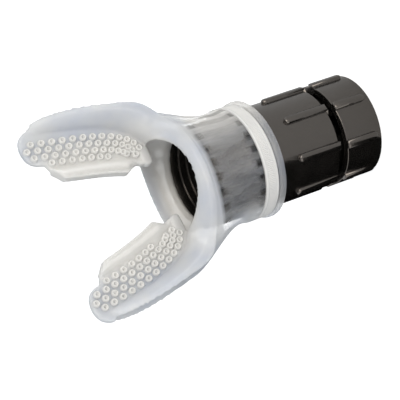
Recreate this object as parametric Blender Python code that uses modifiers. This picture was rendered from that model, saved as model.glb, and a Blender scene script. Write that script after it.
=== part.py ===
"""A hand-held breathing trainer: a silicone mouthpiece on a ribbed barrel with a screw-in resistance dial.

The tube's axis is +Z. The dial's flat end stands at z = 0 and the mouthpiece is on top. X runs across the
bite, from one wing to the other, and Y is square to the bite plane. Sizes are in millimetres, and the
functions that make meshes turn them into metres.
"""

import math

import bmesh
import bpy
from mathutils import Matrix, Vector

MM = 0.001
CLEARANCE = 0.3

# Dial, the ribbed end cap that sets the resistance
DIAL_STEP = 0.2
DIAL_HEIGHT = 12.6
DIAL_WALL = 2.0
DIAL_FLOOR = 2.2
DIAL_END_CHAMFER = 0.6
RIM_CHAMFER = 0.6

# Barrel, the fixed housing
BARREL_RADIUS = 15.3
BARREL_LENGTH = 21.1
BARREL_WALL = 3.3
SHOULDER = 0.2
SPIGOT_LENGTH = 20.6
SPIGOT_WALL = 2.1
SPLINE_COUNT = 24
SPLINE_WIDTH = 2.0
SPLINE_HEIGHT = 0.6
MOUTH_STEP_DEPTH = 2.3
MOUTH_STEP_WIDTH = 0.5

# Grip ribs, in line on the dial and the barrel
RIB_COUNT = 8
RIB_WIDTH = 2.4
RIB_HEIGHT = 1.2
RIB_EDGE = 0.4
RIB_ANGLE = math.radians(10)
DIAL_RIB_INSET = 1.6
BARREL_RIB_LENGTH = 15.0

# Screw between the dial's neck and the barrel
AIR_GAP = 2.5
SCREW_PITCH = 2.5
TURNS_TO_CLOSE = 0.75
TURNS_TO_OPEN = 1.0
THREAD_LENGTH = 7.5
NECK_WALL = 1.7
NECK_LAND = 0.9
WINDOW_COUNT = 4
WINDOW_WIDTH = 9.0
WINDOW_START = 5.0
WINDOW_MARGIN = 1.0
O_RING_SECTION = 0.9
O_RING_HEIGHT = 4.7
O_RING_SLACK = 0.15
TRAVEL_CLIP_THICKNESS = 0.8
TRAVEL_CLIP_GROOVE = 0.9
TRAVEL_CLIP_GAP = 3.0
RUNNING_FIT = 0.4

# Keyed plug that the dial's stem lifts towards the seat
RELIEF_STEP = 0.7
KEY_COUNT = 4
KEY_WIDTH = 2.0
KEY_DEPTH = 1.5
GUIDE_HEIGHT = 7.0
GUIDE_WALL = 2.7
HUB_RADIUS = 4.6
HUB_FLOOR = 2.0
HUB_CUP_RADIUS = 3.3
HUB_CUP_DEPTH = 2.4
SPOKE_WIDTH = 2.2
SPOKE_HEIGHT = 2.5
PLUG_LIFT = 0.5
CONE_HEIGHT = 4.25
CONE_TIP_RADIUS = 1.6
CONE_STOP_GAP = 0.42
SEAL_SPIGOT_DEPTH = 0.8

# Stem that joins the dial to the plug
STEM_RADIUS = 1.8
STEM_SOCKET_FLOOR = 1.8
STEM_BOSS_WALL = 2.3
STEM_BOSS_HEIGHT = 9.8
STEM_FLANGE_RADIUS = 3.6
STEM_FLANGE_HEIGHT = 1.0
STEM_CLIP_DEPTH = 0.6
STEM_CLIP_THICKNESS = 0.6
STEM_CLIP_RADIUS = 2.9
STEM_CLIP_GAP = 1.6
STEM_TIP = 0.4
WASHER_RADIUS = 3.9
WASHER_THICKNESS = 0.8

# Seat plate with its breathing ports and exhale flap
LEDGE_WIDTH = 1.6
LEDGE_THICKNESS = 1.4
GASKET_THICKNESS = 0.8
PLATE_THICKNESS = 2.4
ORIFICE_RADIUS = 3.4
SEAT_BOSS_RADIUS = 5.2
SEAT_BOSS_DROP = 3.6
PORT_COUNT = 6
PORT_RADIUS = 1.7
FLAP_MARGIN = 0.4
FLAP_THICKNESS = 0.6
FLAP_CLIP_RADIUS = 6.8
FLAP_CLIP_THICKNESS = 0.8
SNAP_RING_THICKNESS = 1.2
SNAP_RING_WIDTH = 1.4
SNAP_RING_GAP = 4.0
SNAP_GROOVE_DEPTH = 0.5

# Mouthpiece collar and the nylon tie round it
COLLAR_WALL = 1.7
THROAT_STEP = 0.8
LIP_HEIGHT = 0.6
REAR_LIP_LENGTH = 2.5
BEAD_LENGTH = 2.4
TIE_WIDTH = 4.2
TIE_THICKNESS = 1.1
TIE_SEAT_DEPTH = 1.0
TIE_HEAD_ANGLE = math.radians(75)
TIE_HEAD_LENGTH = 6.4
TIE_HEAD_HEIGHT = 4.2
TIE_HEAD_WIDTH = 5.6
TIE_SLOT_HEIGHT = 1.5
TIE_TAIL_LENGTH = 2.4

# Mouthpiece funnel, from the round collar to the wings
FUNNEL_LAP = 8.8
FUNNEL_LENGTH = 26.0
FUNNEL_SPREAD = 10.1
FUNNEL_BULGE = 0.5
FUNNEL_EARLY = 0.97
FUNNEL_SQUARENESS = 1.5
OPENING_BULGE = 1.4
OPENING_FLARE_LENGTH = 7.0

# Mouthpiece gum flange: a dental arch, z = ARCH_DEPTH * (x / ARCH_HALF_WIDTH) ** ARCH_POWER over its base
ARCH_RISE = 10.2
ARCH_HALF_WIDTH = 27.6
ARCH_DEPTH = 31.0
ARCH_POWER = 5.7
FLANGE_WALL = 1.8
FLANGE_LIP = 0.9
FLANGE_FLARE = 4.2
FLANGE_ARM_REACH = 8.2
FLANGE_REACH_TAPER = 0.45
FLANGE_FLARE_TAPER = 0.35
FLANGE_CURL = 6.0
FLANGE_ARM_CURL = 2.0
FLANGE_ARM_START = 12.0
FLANGE_ARM_BLEND = 10.0
FLANGE_WEB_START = 21.0
FLANGE_WEB_LENGTH = 4.5

# Mouthpiece bite platforms, the bands on their tongue side and the tabs at their roots
PLATFORM_THICKNESS = 2.0
PLATFORM_WIDTH = 9.85
PLATFORM_TAPER = 0.11
PLATFORM_ROOT_RISE = 3.0
PLATFORM_TIP = 6.2
PLATFORM_TIP_SQUARENESS = 2.4
PLATFORM_TIP_INSET = 1.35
PLATFORM_TIP_OVERHANG = 3.1
BAND_ROOT_WIDTH = 2.2
BAND_WIDTH = 5.6
BAND_TIP_WIDTH = 4.0
BAND_HEIGHT = 5.0
BAND_ROOT_HEIGHT = 3.0
BAND_ROOT_LENGTH = 5.0
BAND_TIP_GAP = 1.4
BAND_END_ROUND = 2.4
TAB_WIDTH = 2.3
TAB_LENGTH = 3.0
TAB_THICKNESS = 2.6

# Half of a band's section: (share of its width towards the tongue, share of its half height)
BAND_SECTION = ((-0.12, 0.38), (0.0, 0.52), (0.4, 0.46), (0.84, 0.9), (1.0, 0.8), (0.92, 0.0))

# Heights above the dial's end that follow from the sizes above
BARREL_START = DIAL_HEIGHT + AIR_GAP
BARREL_END = BARREL_START + BARREL_LENGTH
SPIGOT_END = BARREL_END + SPIGOT_LENGTH
THREAD_END = BARREL_START + THREAD_LENGTH
OPEN_TRAVEL = SCREW_PITCH * TURNS_TO_OPEN
CLOSE_TRAVEL = SCREW_PITCH * TURNS_TO_CLOSE
O_RING_Z = BARREL_START + O_RING_HEIGHT
TRAVEL_CLIP_Z = THREAD_END + OPEN_TRAVEL + CLEARANCE
NECK_END = TRAVEL_CLIP_Z + TRAVEL_CLIP_THICKNESS + CLEARANCE + NECK_LAND
PLUG_START = NECK_END + PLUG_LIFT
KEY_START = NECK_END + CLOSE_TRAVEL + CLEARANCE
HUB_END = PLUG_START + HUB_FLOOR + HUB_CUP_DEPTH
CONE_START = HUB_END + CLEARANCE
CONE_SLOPE = (HUB_RADIUS - CONE_TIP_RADIUS) / CONE_HEIGHT
SEAT_BOSS_Z = CONE_START + (HUB_RADIUS - ORIFICE_RADIUS) / CONE_SLOPE + CLOSE_TRAVEL + CONE_STOP_GAP
PLATE_Z = SEAT_BOSS_Z + SEAT_BOSS_DROP
PLATE_END = PLATE_Z + PLATE_THICKNESS
GASKET_Z = PLATE_Z - CLEARANCE - GASKET_THICKNESS
LEDGE_END = GASKET_Z - CLEARANCE
LEDGE_Z = LEDGE_END - LEDGE_THICKNESS
FUNNEL_Z = SPIGOT_END - FUNNEL_LAP
ARCH_Z = SPIGOT_END + ARCH_RISE

# Radii that follow from the barrel's
DIAL_RADIUS = BARREL_RADIUS + DIAL_STEP
SPIGOT_RADIUS = BARREL_RADIUS - SHOULDER
SPIGOT_ROOT = SPIGOT_RADIUS - SPLINE_HEIGHT
UPPER_RADIUS = SPIGOT_ROOT - SPIGOT_WALL
LEDGE_RADIUS = UPPER_RADIUS - LEDGE_WIDTH
FLAP_RADIUS = LEDGE_RADIUS - FLAP_MARGIN
PORT_CIRCLE = (SEAT_BOSS_RADIUS + FLAP_RADIUS) / 2
THREAD_RADIUS = BARREL_RADIUS - BARREL_WALL
RELIEF_RADIUS = THREAD_RADIUS + RELIEF_STEP
NECK_RADIUS = THREAD_RADIUS - RUNNING_FIT
NECK_BORE = NECK_RADIUS - NECK_WALL
GUIDE_RADIUS = RELIEF_RADIUS - RUNNING_FIT
COLLAR_BORE = SPIGOT_RADIUS + CLEARANCE
COLLAR_RADIUS = COLLAR_BORE + COLLAR_WALL
THROAT_RADIUS = COLLAR_BORE - THROAT_STEP
FLANGE_MID_REACH = COLLAR_RADIUS + FLANGE_LIP
TIE_SEAT_RADIUS = COLLAR_RADIUS - TIE_SEAT_DEPTH
TIE_BORE = TIE_SEAT_RADIUS + CLEARANCE

COARSE_STEPS = 32
FINE_STEPS = 48


def new_collection(name):
    group = bpy.data.collections.new(name)
    bpy.context.scene.collection.children.link(group)
    return group


def new_material(name, colour, roughness, alpha=1.0):
    """A plastic or rubber with one colour and gloss."""
    material = bpy.data.materials.new(name)
    material.use_nodes = True
    shader = material.node_tree.nodes["Principled BSDF"]
    shader.inputs["Base Color"].default_value = (*colour, 1.0)
    shader.inputs["Roughness"].default_value = roughness
    shader.inputs["Metallic"].default_value = 0.0
    shader.inputs["Alpha"].default_value = alpha
    material.diffuse_color = (*colour, alpha)
    return material


def new_metal(name, colour, roughness):
    material = new_material(name, colour, roughness)
    material.node_tree.nodes["Principled BSDF"].inputs["Metallic"].default_value = 1.0
    return material


def place(name, mesh, group, material=None):
    """Links a mesh as an object: a part has a material, and a helper has none and stays out of a render."""
    obj = bpy.data.objects.new(name, mesh)
    group.objects.link(obj)
    if material:
        mesh.materials.append(material)
        mesh.shade_smooth()
        mesh.set_sharp_from_angle(angle=math.radians(35))
    else:
        obj.hide_render = True
        obj.display_type = "WIRE"
    return obj


def turned(name, profile, group, material=None, steps=COARSE_STEPS):
    """Turns a profile of (radius, height) points round Z. It runs down its outer side, and closes by itself
    where it doesn't start and end on the axis."""
    points = [(radius * MM, 0.0, height * MM) for radius, height in profile]
    edges = [(i, i + 1) for i in range(len(points) - 1)]
    if profile[0][0] > 0:
        edges.append((len(points) - 1, 0))
    mesh = bpy.data.meshes.new(name)
    mesh.from_pydata(points, edges, [])
    obj = place(name, mesh, group, material)
    screw = obj.modifiers.new("Turn", "SCREW")
    screw.axis = "Z"
    screw.steps = steps
    screw.render_steps = steps
    screw.use_merge_vertices = True
    screw.merge_threshold = 0.01 * MM
    screw.use_smooth_shade = True
    return obj


def ring_profile(inner, outer, start, end):
    return [(inner, end), (outer, end), (outer, start), (inner, start)]


def bars(name, outline, inner, outer, angles, group, edge=0.0):
    """Upright bars round the axis: an outline of (sideways, height) points, from one radius out to another."""
    bm = bmesh.new()
    for angle in angles:
        turn = Matrix.Rotation(angle, 4, "Z")
        near = [bm.verts.new(turn @ Vector((inner * MM, side * MM, height * MM))) for side, height in outline]
        face = bm.faces.new(near)
        grown = bmesh.ops.extrude_face_region(bm, geom=[face])["geom"]
        far = [item for item in grown if isinstance(item, bmesh.types.BMVert)]
        bmesh.ops.translate(bm, verts=far, vec=turn @ Vector(((outer - inner) * MM, 0.0, 0.0)))
        if edge:
            crest = {item for vert in far for item in vert.link_edges if item.other_vert(vert) in far}
            bmesh.ops.bevel(bm, geom=list(crest), offset=edge * MM, segments=1, affect="EDGES", profile=0.5)
    bmesh.ops.recalc_face_normals(bm, faces=bm.faces)
    mesh = bpy.data.meshes.new(name)
    bm.to_mesh(mesh)
    bm.free()
    return place(name, mesh, group)


def block_outline(width, start, end):
    half = width / 2
    return [(-half, start), (half, start), (half, end), (-half, end)]


def rib_outline(width, start, end, round_start, round_end, steps=5):
    """A grip rib seen from outside, with a half-round nose at the ends that are rounded."""
    half = width / 2
    points = []
    for height, rounded, first in ((start, round_start, math.pi), (end, round_end, 0.0)):
        if rounded:
            centre = height + half if height == start else height - half
            turns = [first + math.pi * i / steps for i in range(steps + 1)]
            points += [(half * math.cos(a), centre + half * math.sin(a)) for a in turns]
        else:
            side = -half if height == start else half
            points += [(side, height), (-side, height)]
    return points


def combine(target, operation, *others):
    for other in others:
        modifier = target.modifiers.new(f"{operation.title()} {other.name}", "BOOLEAN")
        modifier.operation = operation
        modifier.object = other


def spread(count, start=0.0):
    return [start + 2 * math.pi * i / count for i in range(count)]


def build_dial(parts, cutters, plastic):
    """The ribbed cap, its windowed neck and the boss that holds the stem, as one moulding."""
    socket_floor = DIAL_FLOOR + STEM_SOCKET_FLOOR
    socket_radius = STEM_RADIUS + CLEARANCE
    boss_end = DIAL_FLOOR + STEM_BOSS_HEIGHT
    groove_half = O_RING_SECTION / 2 + CLEARANCE + O_RING_SLACK
    groove_floor = NECK_RADIUS - O_RING_SECTION
    clip_floor = NECK_RADIUS - TRAVEL_CLIP_GROOVE
    clip_start = TRAVEL_CLIP_Z - CLEARANCE
    clip_end = TRAVEL_CLIP_Z + TRAVEL_CLIP_THICKNESS + CLEARANCE
    skirt_bore = DIAL_RADIUS - DIAL_WALL
    profile = [
        (0.0, socket_floor),
        (socket_radius, socket_floor),
        (socket_radius, boss_end),
        (socket_radius + STEM_BOSS_WALL, boss_end),
        (socket_radius + STEM_BOSS_WALL, DIAL_FLOOR),
        (NECK_BORE, DIAL_FLOOR),
        (NECK_BORE, NECK_END),
        (NECK_RADIUS, NECK_END),
        (NECK_RADIUS, clip_end),
        (clip_floor, clip_end),
        (clip_floor, clip_start),
        (NECK_RADIUS, clip_start),
        (NECK_RADIUS, O_RING_Z + groove_half),
        (groove_floor, O_RING_Z + groove_half),
        (groove_floor, O_RING_Z - groove_half),
        (NECK_RADIUS, O_RING_Z - groove_half),
        (NECK_RADIUS, DIAL_FLOOR),
        (skirt_bore, DIAL_FLOOR),
        (skirt_bore, DIAL_HEIGHT),
        (DIAL_RADIUS - RIM_CHAMFER, DIAL_HEIGHT),
        (DIAL_RADIUS, DIAL_HEIGHT - RIM_CHAMFER),
        (DIAL_RADIUS, DIAL_END_CHAMFER),
        (DIAL_RADIUS - DIAL_END_CHAMFER, 0.0),
        (0.0, 0.0),
    ]
    dial = turned("dial", profile, parts, plastic, FINE_STEPS)
    outline = rib_outline(RIB_WIDTH, DIAL_RIB_INSET, DIAL_HEIGHT, True, False)
    ribs = bars(
        "dial_ribs",
        outline,
        DIAL_RADIUS - DIAL_WALL / 2,
        DIAL_RADIUS + RIB_HEIGHT,
        spread(RIB_COUNT, RIB_ANGLE),
        cutters,
        RIB_EDGE,
    )
    windows = bars(
        "neck_windows",
        block_outline(WINDOW_WIDTH, WINDOW_START, DIAL_HEIGHT + AIR_GAP - WINDOW_MARGIN),
        NECK_BORE - NECK_WALL,
        NECK_RADIUS + NECK_WALL / 3,
        spread(WINDOW_COUNT),
        cutters,
    )
    combine(dial, "UNION", ribs)
    combine(dial, "DIFFERENCE", windows)
    return dial


def build_barrel(parts, cutters, plastic):
    """The ribbed housing with its splined spigot, the seat's ledge and the keys that guide the plug."""
    snap_start = PLATE_END
    snap_end = PLATE_END + SNAP_RING_THICKNESS + 2 * CLEARANCE
    snap_floor = UPPER_RADIUS + SNAP_GROOVE_DEPTH
    profile = [
        (UPPER_RADIUS + 2 * MOUTH_STEP_WIDTH, SPIGOT_END),
        (SPIGOT_ROOT, SPIGOT_END),
        (SPIGOT_ROOT, BARREL_END),
        (BARREL_RADIUS - RIM_CHAMFER, BARREL_END),
        (BARREL_RADIUS, BARREL_END - RIM_CHAMFER),
        (BARREL_RADIUS, BARREL_START + RIM_CHAMFER),
        (BARREL_RADIUS - RIM_CHAMFER, BARREL_START),
        (THREAD_RADIUS + RIM_CHAMFER, BARREL_START),
        (THREAD_RADIUS, BARREL_START + RIM_CHAMFER),
        (THREAD_RADIUS, THREAD_END),
        (RELIEF_RADIUS, THREAD_END),
        (RELIEF_RADIUS, LEDGE_Z),
        (LEDGE_RADIUS, LEDGE_Z),
        (LEDGE_RADIUS, LEDGE_END),
        (UPPER_RADIUS, LEDGE_END),
        (UPPER_RADIUS, snap_start),
        (snap_floor, snap_start),
        (snap_floor, snap_end),
        (UPPER_RADIUS, snap_end),
        (UPPER_RADIUS, SPIGOT_END - 2 * MOUTH_STEP_DEPTH),
        (UPPER_RADIUS + MOUTH_STEP_WIDTH, SPIGOT_END - 2 * MOUTH_STEP_DEPTH),
        (UPPER_RADIUS + MOUTH_STEP_WIDTH, SPIGOT_END - MOUTH_STEP_DEPTH),
        (UPPER_RADIUS + 2 * MOUTH_STEP_WIDTH, SPIGOT_END - MOUTH_STEP_DEPTH),
    ]
    barrel = turned("barrel", profile, parts, plastic, FINE_STEPS)
    ribs = bars(
        "barrel_ribs",
        rib_outline(RIB_WIDTH, BARREL_START, BARREL_START + BARREL_RIB_LENGTH, False, True),
        BARREL_RADIUS - DIAL_WALL / 2,
        BARREL_RADIUS + RIB_HEIGHT,
        spread(RIB_COUNT, RIB_ANGLE),
        cutters,
        RIB_EDGE,
    )
    splines = bars(
        "spigot_splines",
        block_outline(SPLINE_WIDTH, BARREL_END + REAR_LIP_LENGTH, SPIGOT_END - SPLINE_HEIGHT),
        SPIGOT_ROOT - SPLINE_HEIGHT,
        SPIGOT_RADIUS,
        spread(SPLINE_COUNT, RIB_ANGLE),
        cutters,
    )
    keys = bars(
        "plug_keys",
        block_outline(KEY_WIDTH, KEY_START, LEDGE_Z + LEDGE_THICKNESS / 2),
        RELIEF_RADIUS - KEY_DEPTH,
        RELIEF_RADIUS + KEY_DEPTH / 2,
        spread(KEY_COUNT, math.pi / KEY_COUNT),
        cutters,
    )
    combine(barrel, "UNION", ribs, splines, keys)
    return barrel


def build_o_ring(parts, rubber):
    """The drag ring in the neck's groove, a torus turned from a round section."""
    radius = O_RING_SECTION / 2
    centre = NECK_RADIUS - O_RING_SECTION + CLEARANCE + radius
    turns = [math.pi / 2 - 2 * math.pi * i / 8 for i in range(8)]
    profile = [(centre + radius * math.cos(a), O_RING_Z + radius * math.sin(a)) for a in turns]
    return turned("neck_o_ring", profile, parts, rubber)


def open_ring(name, profile, slit_width, parts, cutters, metal):
    """A spring clip: a turned ring with a slit, so that it can be sprung into its groove."""
    ring = turned(name, profile, parts, metal)
    heights = [height for _, height in profile]
    outer = max(radius for radius, _ in profile)
    slit = bars(
        f"{name}_slit",
        block_outline(slit_width, min(heights) - 1, max(heights) + 1),
        0.2 * outer,
        1.2 * outer,
        [math.pi / 2],
        cutters,
    )
    combine(ring, "DIFFERENCE", slit)
    return ring


def build_travel_clip(parts, cutters, metal):
    """It meets the end of the barrel's thread when the dial is fully open, so the dial can't come off."""
    inner = NECK_RADIUS - TRAVEL_CLIP_GROOVE + CLEARANCE
    outer = RELIEF_RADIUS - RUNNING_FIT
    profile = ring_profile(inner, outer, TRAVEL_CLIP_Z, TRAVEL_CLIP_Z + TRAVEL_CLIP_THICKNESS)
    return open_ring("travel_clip", profile, TRAVEL_CLIP_GAP, parts, cutters, metal)


def build_stem(parts, metal):
    tip_z = PLUG_START + HUB_FLOOR + STEM_CLIP_THICKNESS + 2 * CLEARANCE
    groove_z = PLUG_START + HUB_FLOOR
    flange_z = PLUG_START - 2 * CLEARANCE - WASHER_THICKNESS
    neck = STEM_RADIUS - STEM_CLIP_DEPTH
    profile = [
        (0.0, tip_z + STEM_TIP),
        (STEM_RADIUS, tip_z + STEM_TIP),
        (STEM_RADIUS, tip_z),
        (neck, tip_z),
        (neck, groove_z),
        (STEM_RADIUS, groove_z),
        (STEM_RADIUS, flange_z),
        (STEM_FLANGE_RADIUS, flange_z),
        (STEM_FLANGE_RADIUS, flange_z - STEM_FLANGE_HEIGHT),
        (STEM_RADIUS, flange_z - STEM_FLANGE_HEIGHT),
        (STEM_RADIUS, DIAL_FLOOR + STEM_SOCKET_FLOOR + CLEARANCE),
        (0.0, DIAL_FLOOR + STEM_SOCKET_FLOOR + CLEARANCE),
    ]
    return turned("stem", profile, parts, metal)


def build_thrust_washer(parts, plastic):
    end = PLUG_START - CLEARANCE
    profile = ring_profile(STEM_RADIUS + CLEARANCE, WASHER_RADIUS, end - WASHER_THICKNESS, end)
    return turned("thrust_washer", profile, parts, plastic)


def build_stem_clip(parts, cutters, metal):
    start = PLUG_START + HUB_FLOOR + CLEARANCE
    inner = STEM_RADIUS - STEM_CLIP_DEPTH + CLEARANCE
    profile = ring_profile(inner, STEM_CLIP_RADIUS, start, start + STEM_CLIP_THICKNESS)
    return open_ring("stem_clip", profile, STEM_CLIP_GAP, parts, cutters, metal)


def build_plug(parts, cutters, plastic):
    """A hub on four spokes in a guide ring, whose notches run on the barrel's keys."""
    bore = STEM_RADIUS + CLEARANCE
    floor = PLUG_START + HUB_FLOOR
    hub_profile = [
        (HUB_CUP_RADIUS, HUB_END),
        (HUB_RADIUS, HUB_END),
        (HUB_RADIUS, PLUG_START),
        (bore, PLUG_START),
        (bore, floor),
        (HUB_CUP_RADIUS, floor),
    ]
    guide_bore = GUIDE_RADIUS - GUIDE_WALL
    guide_profile = ring_profile(guide_bore, GUIDE_RADIUS, PLUG_START, PLUG_START + GUIDE_HEIGHT)
    plug = turned("valve_plug", guide_profile, parts, plastic, FINE_STEPS)
    hub = turned("plug_hub", hub_profile, cutters)
    spokes = bars(
        "plug_spokes",
        block_outline(SPOKE_WIDTH, PLUG_START, PLUG_START + SPOKE_HEIGHT),
        (HUB_CUP_RADIUS + HUB_RADIUS) / 2,
        guide_bore + GUIDE_WALL / 3,
        spread(KEY_COUNT),
        cutters,
    )
    notches = bars(
        "guide_notches",
        block_outline(KEY_WIDTH + 2 * CLEARANCE, PLUG_START - 1, PLUG_START + GUIDE_HEIGHT + 1),
        RELIEF_RADIUS - KEY_DEPTH - CLEARANCE,
        RELIEF_RADIUS + KEY_DEPTH,
        spread(KEY_COUNT, math.pi / KEY_COUNT),
        cutters,
    )
    combine(plug, "UNION", spokes, hub)
    combine(plug, "DIFFERENCE", notches)
    return plug


def build_plug_seal(parts, rubber):
    """The soft cone on the plug, which throttles the seat's orifice as the dial is screwed in."""
    spigot = HUB_CUP_RADIUS - CLEARANCE
    profile = [
        (0.0, CONE_START + CONE_HEIGHT),
        (CONE_TIP_RADIUS, CONE_START + CONE_HEIGHT),
        (HUB_RADIUS, CONE_START),
        (spigot, CONE_START),
        (spigot, CONE_START - SEAL_SPIGOT_DEPTH),
        (0.0, CONE_START - SEAL_SPIGOT_DEPTH),
    ]
    return turned("plug_seal", profile, parts, rubber)


def build_seat_plate(parts, cutters, plastic):
    """The disc across the barrel: a throttled orifice in a boss, and a ring of exhale ports round it."""
    edge = UPPER_RADIUS - CLEARANCE
    profile = [
        (ORIFICE_RADIUS, PLATE_END),
        (edge, PLATE_END),
        (edge, PLATE_Z),
        (SEAT_BOSS_RADIUS, PLATE_Z),
        (SEAT_BOSS_RADIUS, SEAT_BOSS_Z),
        (ORIFICE_RADIUS, SEAT_BOSS_Z),
    ]
    plate = turned("seat_plate", profile, parts, plastic, FINE_STEPS)
    bm = bmesh.new()
    for angle in spread(PORT_COUNT):
        middle = Vector((PORT_CIRCLE * math.cos(angle), PORT_CIRCLE * math.sin(angle), PLATE_Z)) * MM
        bmesh.ops.create_cone(
            bm,
            cap_ends=True,
            segments=12,
            radius1=PORT_RADIUS * MM,
            radius2=PORT_RADIUS * MM,
            depth=4 * PLATE_THICKNESS * MM,
            matrix=Matrix.Translation(middle),
        )
    mesh = bpy.data.meshes.new("exhale_ports")
    bm.to_mesh(mesh)
    bm.free()
    combine(plate, "DIFFERENCE", place("exhale_ports", mesh, cutters))
    return plate


def build_seat_rings(parts, cutters, rubber, silicone, metal):
    """The gasket under the plate, the flap below its ports with its clip, and the snap ring on top."""
    edge = UPPER_RADIUS - CLEARANCE
    boss = SEAT_BOSS_RADIUS + CLEARANCE
    gasket = ring_profile(LEDGE_RADIUS + CLEARANCE, edge, GASKET_Z, GASKET_Z + GASKET_THICKNESS)
    flap_end = PLATE_Z - CLEARANCE
    flap = ring_profile(boss, FLAP_RADIUS, flap_end - FLAP_THICKNESS, flap_end)
    clip_end = flap_end - FLAP_THICKNESS - CLEARANCE
    clip = ring_profile(boss, FLAP_CLIP_RADIUS, clip_end - FLAP_CLIP_THICKNESS, clip_end)
    snap_outer = UPPER_RADIUS + SNAP_GROOVE_DEPTH - CLEARANCE
    snap_start = PLATE_END + CLEARANCE
    snap = ring_profile(
        snap_outer - SNAP_RING_WIDTH, snap_outer, snap_start, snap_start + SNAP_RING_THICKNESS
    )
    turned("seat_gasket", gasket, parts, rubber, FINE_STEPS)
    turned("exhale_flap", flap, parts, silicone)
    turned("flap_clip", clip, parts, metal)
    open_ring("snap_ring", snap, SNAP_RING_GAP, parts, cutters, metal)


def build_cable_tie(parts, cutters, nylon):
    """The strap that grips the mouthpiece's collar, with its ratchet head and cut tail."""
    start = BARREL_END + REAR_LIP_LENGTH + CLEARANCE
    outer = TIE_BORE + TIE_THICKNESS
    middle = start + TIE_WIDTH / 2
    tie = turned("cable_tie", ring_profile(TIE_BORE, outer, start, start + TIE_WIDTH), parts, nylon, FINE_STEPS)
    low = middle - TIE_HEAD_WIDTH / 2
    high = middle + TIE_HEAD_WIDTH / 2
    clear = COLLAR_RADIUS + LIP_HEIGHT + CLEARANCE
    root = bars(
        "tie_head_root",
        block_outline(TIE_HEAD_LENGTH - 2 * RIB_EDGE, start + RIB_EDGE, start + TIE_WIDTH - RIB_EDGE),
        outer - TIE_THICKNESS / 2,
        clear + TIE_HEAD_HEIGHT / 5,
        [TIE_HEAD_ANGLE],
        cutters,
    )
    head = bars(
        "tie_head",
        block_outline(TIE_HEAD_LENGTH, low, high),
        clear,
        clear + TIE_HEAD_HEIGHT,
        [TIE_HEAD_ANGLE],
        cutters,
        RIB_EDGE,
    )
    slot_start = clear + (TIE_HEAD_HEIGHT - TIE_SLOT_HEIGHT) / 2
    slot = bars(
        "tie_slot",
        block_outline(2 * TIE_HEAD_LENGTH, start, start + TIE_WIDTH),
        slot_start,
        slot_start + TIE_SLOT_HEIGHT,
        [TIE_HEAD_ANGLE],
        cutters,
    )
    tail = bars(
        "tie_tail",
        block_outline(TIE_HEAD_LENGTH + TIE_TAIL_LENGTH, start + CLEARANCE, start + TIE_WIDTH - CLEARANCE),
        slot_start - RIB_EDGE,
        slot_start + TIE_THICKNESS,
        [TIE_HEAD_ANGLE],
        cutters,
    )
    combine(tie, "UNION", root, head)
    combine(tie, "DIFFERENCE", slot)
    combine(tie, "UNION", tail)
    return tie


def smooth_blend(value):
    """0 below 0, 1 above 1, and an S curve between."""
    value = min(max(value, 0.0), 1.0)
    return value * value * (3 - 2 * value)


def arch_point(x):
    """The tooth side of the gum flange in the bite plane, at one place across."""
    return Vector((x, 0.0, ARCH_Z + ARCH_DEPTH * (abs(x) / ARCH_HALF_WIDTH) ** ARCH_POWER))


def arch_outward(x):
    """The flange's outward direction there, away from the teeth."""
    slope = ARCH_DEPTH * ARCH_POWER / ARCH_HALF_WIDTH * (abs(x) / ARCH_HALF_WIDTH) ** (ARCH_POWER - 1)
    return Vector((math.copysign(slope, x), 0.0, -1.0)).normalized()


def arch_stations(count):
    """Places across from one tip of the arch to the other, closer together towards both ends."""
    fine = [ARCH_HALF_WIDTH * (i / 400 - 1) for i in range(801)]
    lengths = [0.0]
    for a, b in zip(fine, fine[1:]):
        lengths.append(lengths[-1] + (arch_point(b) - arch_point(a)).length)
    stations = []
    for i in range(count + 1):
        share = i / count
        eased = (share + 0.5 * (1 - math.cos(math.pi * share))) / 2
        wanted = lengths[-1] * eased
        stations.append(fine[min(range(801), key=lambda k: abs(lengths[k] - wanted))])
    return stations


def arm_share(x):
    """0 at a wing's tip and 1 at the mouth opening."""
    return 1 - (abs(x) / ARCH_HALF_WIDTH) ** ARCH_POWER


def rounded_end(distance, radius):
    """The share of full width that a rounded end has at a distance from its tip."""
    if distance >= radius:
        return 1.0
    return math.sqrt(max(1 - (1 - distance / radius) ** 2, 0.0))


def flange_reach(x):
    """How far the flange stands to each side of the bite plane: a round rim at the opening, then tapering arms."""
    arm = FLANGE_ARM_REACH * arm_share(x) ** FLANGE_REACH_TAPER
    circle = math.sqrt(max(FLANGE_MID_REACH**2 - x * x, 0.0))
    return max((circle**4 + arm**4) ** 0.25, PLATFORM_THICKNESS / 2)


def flange_lean(x, level):
    """How far the flange leans outward at a level from 0, in the bite plane, to 1 at its rim."""
    arm = smooth_blend((abs(x) - FLANGE_ARM_START) / FLANGE_ARM_BLEND)
    curl = FLANGE_CURL + (FLANGE_ARM_CURL - FLANGE_CURL) * arm
    return FLANGE_FLARE * arm_share(x) ** FLANGE_FLARE_TAPER * abs(level) ** curl


def skin(name, rings, group, material=None, capped=True):
    """A closed solid through rings of equal length: capped at its first and last ring, or joined end to end."""
    bm = bmesh.new()
    verts = [[bm.verts.new(point * MM) for point in ring] for ring in rings]
    count = len(rings[0])
    for first, second in zip(verts, verts[1:] if capped else verts[1:] + verts[:1]):
        for j in range(count):
            bm.faces.new((first[j], first[(j + 1) % count], second[(j + 1) % count], second[j]))
    if capped:
        bm.faces.new(verts[0])
        bm.faces.new(verts[-1])
    bmesh.ops.recalc_face_normals(bm, faces=bm.faces)
    mesh = bpy.data.meshes.new(name)
    bm.to_mesh(mesh)
    bm.free()
    return place(name, mesh, group, material)


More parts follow.
